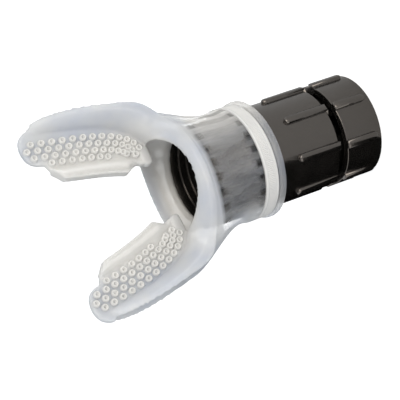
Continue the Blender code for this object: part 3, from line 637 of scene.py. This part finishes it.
def platform_outline(crease_steps=24, round_steps=30, crowding=1.4):
    """One bite platform seen square to the bite plane: up the tongue side, round the tip, down the arch."""
    tip_z = ARCH_Z + ARCH_DEPTH
    root_z = ARCH_Z + PLATFORM_ROOT_RISE
    heights = [mix(root_z, tip_z, i / crease_steps) for i in range(crease_steps + 1)]
    outline = [(inner_crease(z), z) for z in heights]
    left = inner_crease(tip_z) + PLATFORM_TIP_INSET
    right = ARCH_HALF_WIDTH + PLATFORM_TIP_OVERHANG
    for i in range(1, round_steps):
        level = -math.cos(math.pi * i / round_steps)
        rise = PLATFORM_TIP * (1 - abs(level) ** PLATFORM_TIP_SQUARENESS) ** (1 / PLATFORM_TIP_SQUARENESS)
        outline.append((mix(left, right, (level + 1) / 2), tip_z + rise))
    for i in range(round_steps + 1):
        x = mix(ARCH_HALF_WIDTH, THROAT_RADIUS, (i / round_steps) ** crowding)
        point = arch_point(x) + arch_outward(x) * (FLANGE_WALL / 2)
        outline.append((point.x, point.z))
    return outline


def slab(name, outline, side, thickness):
    """A flat piece in the bite plane, from its outline on the +X side."""
    rings = [[Vector((side * x, y, z)) for x, z in outline] for y in (-thickness / 2, thickness / 2)]
    return capped_stack(name, rings)


def make_band(side, steps=64, reach=0.1):
    """The rolled band along the tongue side of one platform, with a groove along its free edge."""
    section = list(BAND_SECTION) + [(inward, -rise) for inward, rise in reversed(BAND_SECTION[:-1])]
    root_z = ARCH_Z + PLATFORM_ROOT_RISE
    tip_z = ARCH_Z + ARCH_DEPTH - BAND_TIP_GAP
    rings = []
    for i in range(steps + 1):
        share = i / steps
        z = mix(root_z, tip_z, (share + 0.5 * (1 - math.cos(math.pi * share))) / 2)
        slope = (inner_crease(z + reach) - inner_crease(z - reach)) / (2 * reach)
        inward = Vector((-1.0, 0.0, slope)).normalized()
        grown = smooth_blend((z - root_z - BAND_ROOT_LENGTH / 3) / BAND_ROOT_LENGTH)
        width = mix(BAND_ROOT_WIDTH, mix(BAND_WIDTH, BAND_TIP_WIDTH, share), grown)
        width *= min((tip_z - z) / BAND_END_LENGTH + BAND_END_SHARE, 1.0)
        half_height = mix(BAND_ROOT_HEIGHT, BAND_HEIGHT, grown) / 2
        ring = []
        for along, rise in section:
            point = Vector((inner_crease(z), 0.0, z)) + inward * (along * width)
            ring.append(Vector((side * point.x, -rise * half_height, point.z)))
        rings.append(ring)
    return capped_stack("band", rings)


def make_tab(side, steps=12):
    """The small round-ended tab by the mouth opening, at the root of one platform."""
    half = TAB_WIDTH / 2
    root = inner_crease(ARCH_Z + PLATFORM_ROOT_RISE) + half + TAB_OFFSET
    z = ARCH_Z + PLATFORM_ROOT_RISE - TAB_DROP
    centre = root - TAB_LENGTH + half
    outline = [(root + half, z + half)]
    for i in range(steps + 1):
        angle = math.pi / 2 + math.pi * i / steps
        outline.append((centre + half * math.cos(angle), z + half * math.sin(angle)))
    outline.append((root + half, z - half))
    return slab("tab", outline, side, TAB_THICKNESS)


def lean_wings(obj):
    """The same object bent to -X, more and more towards the wings' tips."""
    for vert in obj.data.vertices:
        height = vert.co.z / MM
        vert.co.x -= WING_LEAN * MM * smooth_blend((height - WING_LEAN_START) / WING_LEAN_LENGTH)
    return obj


def make_mouthpiece():
    """All the silicone forms run together into one skin with soft fillets."""
    shapes = [cut(make_flange(), make_passage()), cut(make_tube(), make_passage())]
    for side in (-1, 1):
        platform = slab("platform", platform_outline(), side, PLATFORM_THICKNESS)
        shapes += [lean_wings(piece) for piece in (platform, make_band(side), make_tab(side))]
    piece = joined("silicone_mouthpiece", shapes)
    remesh = piece.modifiers.new("Skin", "REMESH")
    remesh.mode = "VOXEL"
    remesh.voxel_size = VOXEL * MM
    soften = piece.modifiers.new("Fillets", "SMOOTH")
    soften.factor = FILLET_FACTOR
    soften.iterations = FILLET_PASSES
    apply_modifiers(piece)
    piece.data.shade_smooth()
    return piece


def inside_by(x, z, outline):
    """How far a place lies inside a closed outline, or a negative number outside."""
    inside = False
    nearest = math.inf
    for (ax, az), (bx, bz) in zip(outline, outline[1:] + outline[:1]):
        square = (bx - ax) ** 2 + (bz - az) ** 2
        along = ((x - ax) * (bx - ax) + (z - az) * (bz - az)) / max(square, TINY)
        share = min(max(along, 0.0), 1.0)
        nearest = min(nearest, math.hypot(x - mix(ax, bx, share), z - mix(az, bz, share)))
        if (az > z) != (bz > z) and x < ax + (bx - ax) * (z - az) / (bz - az):
            inside = not inside
    return nearest if inside else -nearest


def nub_path():
    """Points and outward directions along the arch, run on straight past its tip."""
    places = [mix(NUB_PATH_START, ARCH_HALF_WIDTH, i / ARCH_SAMPLES) for i in range(ARCH_SAMPLES + 1)]
    path = [(arch_point(x), arch_outward(x)) for x in places]
    tip, out = path[-1]
    onward = Vector((-out.z, 0.0, out.x))
    steps = round(NUB_PATH_ONWARD / NUB_PATH_STEP)
    return path + [(tip + onward * (NUB_PATH_STEP * i), out) for i in range(1, steps + 1)]


def nub_places():
    """Centres of the nubs on one platform, row by row."""
    path = nub_path()
    outline = platform_outline()
    tip_z = ARCH_Z + ARCH_DEPTH
    places = []
    for row in range(NUB_ROWS):
        offset = NUB_FIRST_ROW + NUB_ROW_STEP * row
        gone = NUB_ROW_SHIFTS[row % 2]
        last = path[0][0]
        for point, out in path:
            pitch = mix(NUB_ROOT_PITCH, NUB_TIP_PITCH, smooth_blend((point.z - ARCH_Z) / NUB_PITCH_RISE))
            gone += (point - last).length / pitch
            last = point
            if gone < 1:
                continue
            gone -= 1
            place = point - out * offset
            margin = mix(NUB_MARGIN, NUB_TIP_MARGIN, smooth_blend((place.z - tip_z) / NUB_TIP_ZONE + 1))
            if place.x > 0 and inside_by(place.x, place.z, outline) > margin:
                places.append(place)
    return places


def make_nubs(around=16):
    """Hollow chewing nubs on both faces of both platforms."""
    points = []
    faces = []
    for side in (-1, 1):
        for face in (-1, 1):
            for place in nub_places():
                start = len(points)
                for radius, rise in NUB_SECTION:
                    y = face * (PLATFORM_THICKNESS / 2 + rise - NUB_SINK)
                    for angle in round_angles(around):
                        x = place.x + radius * math.cos(angle)
                        points.append(Vector((side * x, y, place.z + radius * math.sin(angle))))
                faces += grid_faces(len(NUB_SECTION), around, True, True, start)
    piece = facing_out(mesh_object("chewing_nubs", points, faces))
    lean_wings(piece)
    piece.data.shade_smooth()
    return piece


def make_strap():
    """The nylon strap with fine cross teeth along its middle."""
    inner = TIE_SEAT_RADIUS + CLEARANCE
    low = TIE_START + STRAP_INSET
    high = TIE_END - STRAP_INSET
    toothed = STRAP_RAIL + STRAP_RAIL_SLOPE
    profile = (
        (inner, low + STRAP_INNER_EDGE, 0.0),
        (inner, high - STRAP_INNER_EDGE, 0.0),
        (inner + STRAP_INNER_EDGE, high, 0.0),
        (TIE_OUTER - STRAP_OUTER_EDGE, high, 0.0),
        (TIE_OUTER, high - STRAP_OUTER_EDGE, 0.0),
        (TIE_OUTER, high - STRAP_RAIL, 0.0),
        (TIE_OUTER - STRAP_RECESS, high - toothed, TOOTH_DEPTH),
        (TIE_OUTER - STRAP_RECESS, low + toothed, TOOTH_DEPTH),
        (TIE_OUTER, low + STRAP_RAIL, 0.0),
        (TIE_OUTER, low + STRAP_OUTER_EDGE, 0.0),
        (TIE_OUTER - STRAP_OUTER_EDGE, low, 0.0),
        (inner + STRAP_INNER_EDGE, low, 0.0),
    )
    rings = []
    for radius, z, depth in profile:
        ring = []
        for i, angle in enumerate(round_angles(2 * TOOTH_COUNT)):
            r = radius - depth * (i % 2)
            ring.append(Vector((r * math.cos(angle), r * math.sin(angle), z)))
        rings.append(ring)
    return ring_stack("strap", rings)


def rounded_box(name, angle, radii, length, heights, edge):
    """A block on the strap with softened edges: between two radii and two heights, lengthwise round it."""
    half = length / 2
    low, high = heights
    out = Vector((math.cos(angle), math.sin(angle), 0.0))
    along = Vector((-out.y, out.x, 0.0))
    corners = ((-half, low), (half, low), (half, high), (-half, high))
    rings = [[out * radius + along * s + Vector((0.0, 0.0, z)) for s, z in corners] for radius in radii]
    block = capped_stack(name, rings)
    bevel = block.modifiers.new("Edges", "BEVEL")
    bevel.width = edge * MM
    bevel.segments = 3
    return apply_modifiers(block)


def make_tie():
    """The strap with its ratchet head and cut tail."""
    low = TIE_START + TIE_SLACK
    high = TIE_END - TIE_SLACK
    middle = (low + high) / 2
    slot = HEAD_START + HEAD_HEIGHT / 2
    root = rounded_box(
        "root",
        HEAD_ANGLE,
        (TIE_OUTER - ROOT_SINK, HEAD_START + ROOT_LAP),
        HEAD_LENGTH - ROOT_LAP,
        (low + ROOT_INSET, high - ROOT_INSET),
        HEAD_EDGE,
    )
    head = rounded_box(
        "head",
        HEAD_ANGLE,
        (HEAD_START, HEAD_START + HEAD_HEIGHT),
        HEAD_LENGTH,
        (middle - HEAD_WIDTH / 2, middle + HEAD_WIDTH / 2),
        HEAD_EDGE,
    )
    tail = rounded_box(
        "tail",
        HEAD_ANGLE,
        (slot - TAIL_HALF_THICKNESS, slot + TAIL_HALF_THICKNESS),
        HEAD_LENGTH + TAIL_LENGTH,
        (low + TAIL_INSET, high - TAIL_INSET),
        TAIL_EDGE,
    )
    tie = joined("serrated_tie", [make_strap(), root, head, tail])
    tie.data.shade_smooth()
    tie.data.set_sharp_from_angle(angle=TIE_SHARP_ANGLE)
    return tie


def adjusted_copy(name, node, radius, turn):
    """A CAD solid's mesh with lower grip ribs, turned a little round the tube's axis."""
    obj = new_object(name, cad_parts[node].data.copy())
    for vert in obj.data.vertices:
        reach = math.hypot(vert.co.x, vert.co.y) / MM
        height = vert.co.z / MM
        if height > SPIGOT_END - SPIGOT_MARGIN and reach > THROAT_NECK + SPIGOT_MARGIN:
            vert.co.z += SPIGOT_STRETCH * MM
        if reach > radius + NEAR:
            share = (radius + (reach - radius) * RIB_SHARE) / reach
        else:
            share = 1.0
        angle = math.atan2(vert.co.y, vert.co.x)
        if height < BARREL_END and reach > radius - NEAR:
            angle += turn
        vert.co.x = reach * share * MM * math.cos(angle)
        vert.co.y = reach * share * MM * math.sin(angle)
    return round_ribs(obj, radius)


def round_ribs(obj, radius):
    """Smooth shading over the ribs, as if their crests were round, and sharp edges elsewhere."""
    mesh = obj.data
    if "custom_normal" in mesh.attributes:
        mesh.attributes.remove(mesh.attributes["custom_normal"])
    bm = bmesh.new()
    bm.from_mesh(mesh)
    bmesh.ops.remove_doubles(bm, verts=bm.verts, dist=WELD * MM)
    bm.to_mesh(mesh)
    bm.free()
    mesh.shade_smooth()
    mesh.set_sharp_from_angle(angle=RIB_SHARP_ANGLE)
    on_rib = [math.hypot(vert.co.x, vert.co.y) > (radius + NEAR) * MM for vert in mesh.vertices]
    for edge in mesh.edges:
        if all(on_rib[index] for index in edge.vertices):
            edge.use_edge_sharp = False
    return obj


def make_dial():
    """The CAD's dial with crisper edges at its end and its rim."""
    dial = adjusted_copy("ribbed_dial", "dial", DIAL_RADIUS, DIAL_TURN)
    for vert in dial.data.vertices:
        reach = math.hypot(vert.co.x, vert.co.y) / MM
        height = vert.co.z / MM
        if DIAL_RADIUS - DIAL_CAD_EDGE - NEAR < reach < DIAL_RADIUS - NEAR:
            if height < NEAR or abs(height - DIAL_HEIGHT) < NEAR:
                vert.co.x *= (DIAL_RADIUS - DIAL_EDGE) / reach
                vert.co.y *= (DIAL_RADIUS - DIAL_EDGE) / reach
        elif abs(reach - DIAL_RADIUS) < NEAR:
            if abs(height - DIAL_CAD_EDGE) < NEAR:
                vert.co.z = DIAL_EDGE * MM
            elif abs(height - DIAL_HEIGHT + DIAL_CAD_EDGE) < NEAR:
                vert.co.z = (DIAL_HEIGHT - DIAL_EDGE) * MM
    return dial


def new_nodes(name):
    """A new material with its node tree and its shader."""
    material = bpy.data.materials.new(name)
    material.use_nodes = True
    tree = material.node_tree
    return material, tree, tree.nodes["Principled BSDF"]


def place_on_object(tree):
    return tree.nodes.new("ShaderNodeTexCoord").outputs["Object"]


def noise(tree, scale, detail=2.0, roughness=0.5, turn=None, stretch=1.0):
    """Noise by place on the object, drawn out along one direction where a turn is given."""
    node = tree.nodes.new("ShaderNodeTexNoise")
    node.inputs["Scale"].default_value = scale
    node.inputs["Detail"].default_value = detail
    node.inputs["Roughness"].default_value = roughness
    vector = place_on_object(tree)
    if turn:
        mapping = tree.nodes.new("ShaderNodeMapping")
        mapping.inputs["Rotation"].default_value = turn
        mapping.inputs["Scale"].default_value = (1.0, 1.0, 1.0 / stretch)
        tree.links.new(vector, mapping.inputs["Vector"])
        vector = mapping.outputs["Vector"]
    tree.links.new(vector, node.inputs["Vector"])
    return node.outputs["Fac"]


def ramp(tree, source, low, high, start=0.3, end=0.7):
    """A colour that follows a socket's value."""
    node = tree.nodes.new("ShaderNodeValToRGB")
    node.color_ramp.elements[0].position = start
    node.color_ramp.elements[0].color = (*low, 1.0)
    node.color_ramp.elements[1].position = end
    node.color_ramp.elements[1].color = (*high, 1.0)
    tree.links.new(source, node.inputs["Fac"])
    return node.outputs["Color"]


def ranged(tree, source, low, high, start=0.3, end=0.7):
    """A number that follows a socket's value."""
    node = tree.nodes.new("ShaderNodeMapRange")
    node.inputs["From Min"].default_value = start
    node.inputs["From Max"].default_value = end
    node.inputs["To Min"].default_value = low
    node.inputs["To Max"].default_value = high
    tree.links.new(source, node.inputs["Value"])
    return node.outputs["Result"]


def rising(tree, source, zone):
    """0 before a zone given in millimetres and 1 past it."""
    return ranged(tree, source, 0.0, 1.0, zone[0] * MM, zone[1] * MM)


def falling(tree, source, zone):
    """1 before a zone given in millimetres and 0 past it."""
    return ranged(tree, source, 1.0, 0.0, zone[0] * MM, zone[1] * MM)


def combined(tree, operation, first, second=0.0):
    """One number worked out from two, each a socket or a plain value."""
    node = tree.nodes.new("ShaderNodeMath")
    node.operation = operation
    for socket, value in zip(node.inputs, (first, second)):
        if isinstance(value, float):
            socket.default_value = value
        else:
            tree.links.new(value, socket)
    return node.outputs["Value"]


def blended(tree, factor, first, second, kind="RGBA"):
    """A blend of two colours, or with another kind of two numbers, each a socket or a plain value."""
    node = tree.nodes.new("ShaderNodeMix")
    node.data_type = kind
    sockets = [socket for socket in node.inputs if socket.enabled]
    tree.links.new(factor, sockets[0])
    for socket, value in zip(sockets[1:], (first, second)):
        if isinstance(value, (float, tuple)):
            socket.default_value = value
        else:
            tree.links.new(value, socket)
    return [socket for socket in node.outputs if socket.enabled][0]


def mottled(tree, shader, patches, dark, pale, roughness):
    """Colour and roughness that wander a little over the surface."""
    tree.links.new(ramp(tree, patches, dark, pale), shader.inputs["Base Color"])
    tree.links.new(ranged(tree, patches, *roughness), shader.inputs["Roughness"])


def bumped(tree, shader, source, strength, distance, round_edges=0.0):
    """Fine relief on the surface, with rounded edges where a width is given."""
    bump = tree.nodes.new("ShaderNodeBump")
    bump.inputs["Strength"].default_value = strength
    bump.inputs["Distance"].default_value = distance * MM
    tree.links.new(source, bump.inputs["Height"])
    if round_edges:
        bevel = tree.nodes.new("ShaderNodeBevel")
        bevel.samples = 6
        bevel.inputs["Radius"].default_value = round_edges * MM
        tree.links.new(bevel.outputs["Normal"], bump.inputs["Normal"])
    tree.links.new(bump.outputs["Normal"], shader.inputs["Normal"])


def object_axes(tree):
    """Sockets for a place on the object: across, deep, high, and its reach from the tube's axis."""
    axes = tree.nodes.new("ShaderNodeSeparateXYZ")
    tree.links.new(place_on_object(tree), axes.inputs["Vector"])
    x = axes.outputs["X"]
    y = axes.outputs["Y"]
    squares = combined(tree, "ADD", combined(tree, "MULTIPLY", x, x), combined(tree, "MULTIPLY", y, y))
    return x, y, axes.outputs["Z"], combined(tree, "SQRT", squares)


def silicone_tone_and_painted_light(tree, x, height, reach, clouds):
    """Bluish in the wings, with paler and warmer tones painted as light on the platforms, on the collar's lit
    side and in the throat.
    """
    tone = ramp(tree, clouds, BLUISH_DARK, BLUISH_PALE, 0.32, 0.68)
    # Painted light: a paler, warmer tone on the tongue side of the bite platforms
    platform = falling(tree, combined(tree, "ABSOLUTE", x), PLATFORM_PAINTED_LIGHT_ZONE)
    platform = combined(tree, "MULTIPLY", platform, rising(tree, height, WING_ZONE))
    tone = blended(tree, platform, tone, PLATFORM_PAINTED_LIGHT)
    # Painted light: a paler, warmer tone on the collar's upper side, which faces the key light
    lit = falling(tree, height, LIT_HEIGHT_ZONE)
    lit = combined(tree, "MULTIPLY", lit, rising(tree, x, LIT_SIDE_ZONE))
    tone = blended(tree, lit, tone, LIT_TONE)
    # Painted light: a paler, warmer grey in the shaded throat
    throat = falling(tree, reach, THROAT_PAINTED_LIGHT_ZONE)
    throat = combined(tree, "MULTIPLY", throat, falling(tree, height, WING_ZONE))
    return blended(tree, throat, tone, THROAT_PAINTED_LIGHT)


def collar_pattern(tree, turn, height, upper, sides):
    """How milky the collar is: clear where it touches the spigot's splines, most of all near their ends."""
    cycle = combined(tree, "MULTIPLY", combined(tree, "SUBTRACT", turn, SPLINE_ANGLE), SPLINE_COUNT)
    touch = ranged(tree, combined(tree, "COSINE", cycle), 0.0, 1.0, -SPLINE_SOFTNESS, SPLINE_SOFTNESS)
    middle = (TIE_END + SPIGOT_END + SPIGOT_STRETCH) / 2
    away = combined(tree, "ABSOLUTE", combined(tree, "SUBTRACT", height, middle * MM))
    stripes = combined(tree, "MAXIMUM", rising(tree, away, SPLINE_END_ZONE), upper)
    contact = combined(tree, "MULTIPLY", touch, stripes)
    streaks = noise(tree, 700.0, 5.0, 0.7, (0.3, 0.9, 0.0), 5.0)
    clouds = ranged(tree, streaks, COLLAR_MILK - COLLAR_STREAK, COLLAR_MILK + COLLAR_STREAK)
    haze = combined(tree, "MULTIPLY", sides, COLLAR_SIDE_MILK)
    milk = combined(tree, "ADD", clouds, haze)
    depth = ranged(tree, upper, COLLAR_CONTACT, COLLAR_SIDE_CONTACT, 0.0, 1.0)
    return combined(tree, "SUBTRACT", milk, combined(tree, "MULTIPLY", contact, depth))


def silicone_milk(tree, x, y, height, reach):
    """Milky on the wings and clearer on the collar and its lip, where the black barrel shows through."""
    turn = combined(tree, "ARCTAN2", y, x)
    sideways = combined(tree, "COSINE", turn)
    upper = ranged(tree, sideways, 0.0, 1.0, *UPPER_SIDE)
    lower = ranged(tree, sideways, 0.0, 1.0, *LOWER_SIDE)
    sides = combined(tree, "MAXIMUM", upper, lower)
    collar = collar_pattern(tree, turn, height, upper, sides)
    lip = combined(tree, "ADD", combined(tree, "MULTIPLY", sides, LIP_SIDE_MILK), LIP_MILK)
    low = blended(tree, falling(tree, height, LIP_ZONE), collar, lip, "FLOAT")
    outer_skin = rising(tree, reach, OUTER_SKIN_ZONE)
    start = combined(tree, "SUBTRACT", height, combined(tree, "MULTIPLY", outer_skin, SPIGOT_STRETCH * MM))
    return blended(tree, rising(tree, start, MILKY_ZONE), low, WING_MILK, "FLOAT")


def silicone_material():
    """Translucent silicone with light that scatters in it."""
    material, tree, shader = new_nodes("silicone_milky")
    x, y, height, reach = object_axes(tree)
    clouds = noise(tree, 90.0, 3.0)
    tree.links.new(silicone_tone_and_painted_light(tree, x, height, reach, clouds), shader.inputs["Base Color"])
    tree.links.new(ranged(tree, clouds, 0.34, 0.46), shader.inputs["Roughness"])
    tree.links.new(silicone_milk(tree, x, y, height, reach), shader.inputs["Alpha"])
    shader.inputs["IOR"].default_value = SILICONE_IOR
    shader.inputs["Subsurface Weight"].default_value = 1.0
    shader.inputs["Subsurface Radius"].default_value = (1.0, 1.0, 1.0)
    shader.inputs["Subsurface Scale"].default_value = SILICONE_DEPTH * MM
    bumped(tree, shader, noise(tree, 1800.0), 0.12, 0.05)
    return material


def nub_material():
    """The same silicone, glossier, with a paler colour painted as the light that the nubs catch."""
    material, tree, shader = new_nodes("silicone_nubs")
    mottled(tree, shader, noise(tree, 500.0), (0.76, 0.755, 0.74), (0.85, 0.84, 0.82), (0.10, 0.2))
    shader.inputs["IOR"].default_value = SILICONE_IOR
    shader.inputs["Alpha"].default_value = 0.8
    return material


def plastic_material(name, dark, pale, roughness, specular, edge):
    material, tree, shader = new_nodes(name)
    mottled(tree, shader, noise(tree, 260.0, 4.0, 0.6), dark, pale, roughness)
    shader.inputs["Specular IOR Level"].default_value = specular
    shader.inputs["Specular Tint"].default_value = WARM_GLINT
    bumped(tree, shader, noise(tree, 3000.0), 0.2, 0.03, edge)
    return material


def metal_material():
    material, tree, shader = new_nodes("steel_clip")
    mottled(tree, shader, noise(tree, 500.0, 3.0), (0.50, 0.50, 0.50), (0.66, 0.66, 0.65), (0.25, 0.4))
    shader.inputs["Metallic"].default_value = 1.0
    return material


def make_camera():
    data = bpy.data.cameras.new("photo_camera")
    data.lens = CAMERA_LENS
    data.sensor_width = CAMERA_SENSOR
    data.clip_start = CAMERA_NEAR
    data.clip_end = CAMERA_FAR
    camera = new_object("photo_camera", data)
    right = Vector(CAMERA_RIGHT)
    up = Vector(CAMERA_UP)
    turn = Matrix((right, up, right.cross(up))).transposed().to_4x4()
    camera.matrix_world = Matrix.Translation(Vector(CAMERA_PLACE) * MM) @ turn
    bpy.context.scene.camera = camera


def area_light(name, place, size, power, colour):
    """A square lamp at a place in metres, turned to the middle of the part."""
    data = bpy.data.lights.new(name, "AREA")
    data.shape = "SQUARE"
    data.size = size
    data.energy = power
    data.color = colour
    light = new_object(name, data)
    target = (cad_low + cad_high) / 2
    light.location = place
    light.rotation_mode = "QUATERNION"
    light.rotation_quaternion = (target - Vector(place)).to_track_quat("-Z", "Y")


def make_world():
    """White where the camera, a reflection or a clear body sees it, and dimmer where it only lights."""
    world = bpy.data.worlds.new("studio")
    bpy.context.scene.world = world
    world.use_nodes = True
    tree = world.node_tree
    background = tree.nodes["Background"]
    path = tree.nodes.new("ShaderNodeLightPath")
    seen = path.outputs["Is Camera Ray"]
    for output in ("Is Glossy Ray", "Is Transmission Ray"):
        seen = combined(tree, "MAXIMUM", seen, path.outputs[output])
    tree.links.new(ranged(tree, seen, AMBIENT, 1.0, 0.0, 1.0), background.inputs["Strength"])
    tree.links.new(ramp(tree, seen, AMBIENT_TINT, WHITE, 0.0, 1.0), background.inputs["Color"])


def make_floor():
    """The pale floor, which glows a little to the camera so that it meets the white background."""
    corners = ((-1, -1), (1, -1), (1, 1), (-1, 1))
    points = [(FLOOR_REACH * x, FLOOR_REACH * y, FLOOR_Z) for x, y in corners]
    floor = mesh_object("floor", points, [(0, 1, 2, 3)])
    material, tree, shader = new_nodes("pale_floor")
    tree.links.new(ramp(tree, noise(tree, 4.0), FLOOR_DARK, FLOOR_PALE), shader.inputs["Base Color"])
    shader.inputs["Roughness"].default_value = 0.9
    shader.inputs["Emission Color"].default_value = (*WHITE, 1.0)
    seen = tree.nodes.new("ShaderNodeLightPath").outputs["Is Camera Ray"]
    tree.links.new(combined(tree, "MULTIPLY", seen, FLOOR_GLOW), shader.inputs["Emission Strength"])
    set_material(floor, material)


def make_card():
    """The dark card, a part of a ring, that only reflections see."""
    angles = [mix(CARD_FROM, CARD_TO, i / CARD_STEPS) for i in range(CARD_STEPS + 1)]
    points = [(r * math.cos(a), r * math.sin(a), CARD_Z) for r in (CARD_HOLE, CARD_RADIUS) for a in angles]
    card = mesh_object("dark_card", points, grid_faces(2, len(angles)))
    material, _, shader = new_nodes("dark_card")
    shader.inputs["Base Color"].default_value = (0.0, 0.0, 0.0, 1.0)
    shader.inputs["Specular IOR Level"].default_value = 0.0
    set_material(card, material)
    card.visible_camera = False
    card.visible_diffuse = False
    card.visible_transmission = False
    card.visible_shadow = False


def set_material(obj, material):
    obj.data.materials.clear()
    obj.data.materials.append(material)


def dress_cad_nodes(looks):
    """A finish for every CAD node that stays, in the object's own slots."""
    for slot, names in DRESSED_NODES.items():
        for name in names:
            for material_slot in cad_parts[name].material_slots:
                material_slot.link = "OBJECT"
                material_slot.material = looks[slot]


def main():
    looks = {slot: plastic_material(**finish) for slot, finish in PLASTICS.items()}
    looks["clear_silicone"] = silicone_material()
    looks["spring_steel"] = metal_material()
    make_camera()
    make_world()
    make_floor()
    for name, settings in LIGHTS.items():
        area_light(name, **settings)
    make_card()
    dress_cad_nodes(looks)
    mouthpiece = make_mouthpiece()
    set_material(mouthpiece, looks["clear_silicone"])
    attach(mouthpiece, "housing")
    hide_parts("mouthpiece")
    nubs = make_nubs()
    set_material(nubs, nub_material())
    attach(nubs, "housing")
    tie = make_tie()
    set_material(tie, looks["white_nylon"])
    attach(tie, "housing")
    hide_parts("cable_tie")
    barrel = adjusted_copy("ribbed_barrel", "barrel", BARREL_RADIUS, BARREL_TURN)
    set_material(barrel, looks["black_plastic"])
    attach(barrel, "housing")
    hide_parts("barrel")
    dial = make_dial()
    set_material(dial, looks["black_plastic"])
    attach(dial, "dial")
    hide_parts("dial")
    bpy.context.scene.view_settings.view_transform = "Standard"


main()
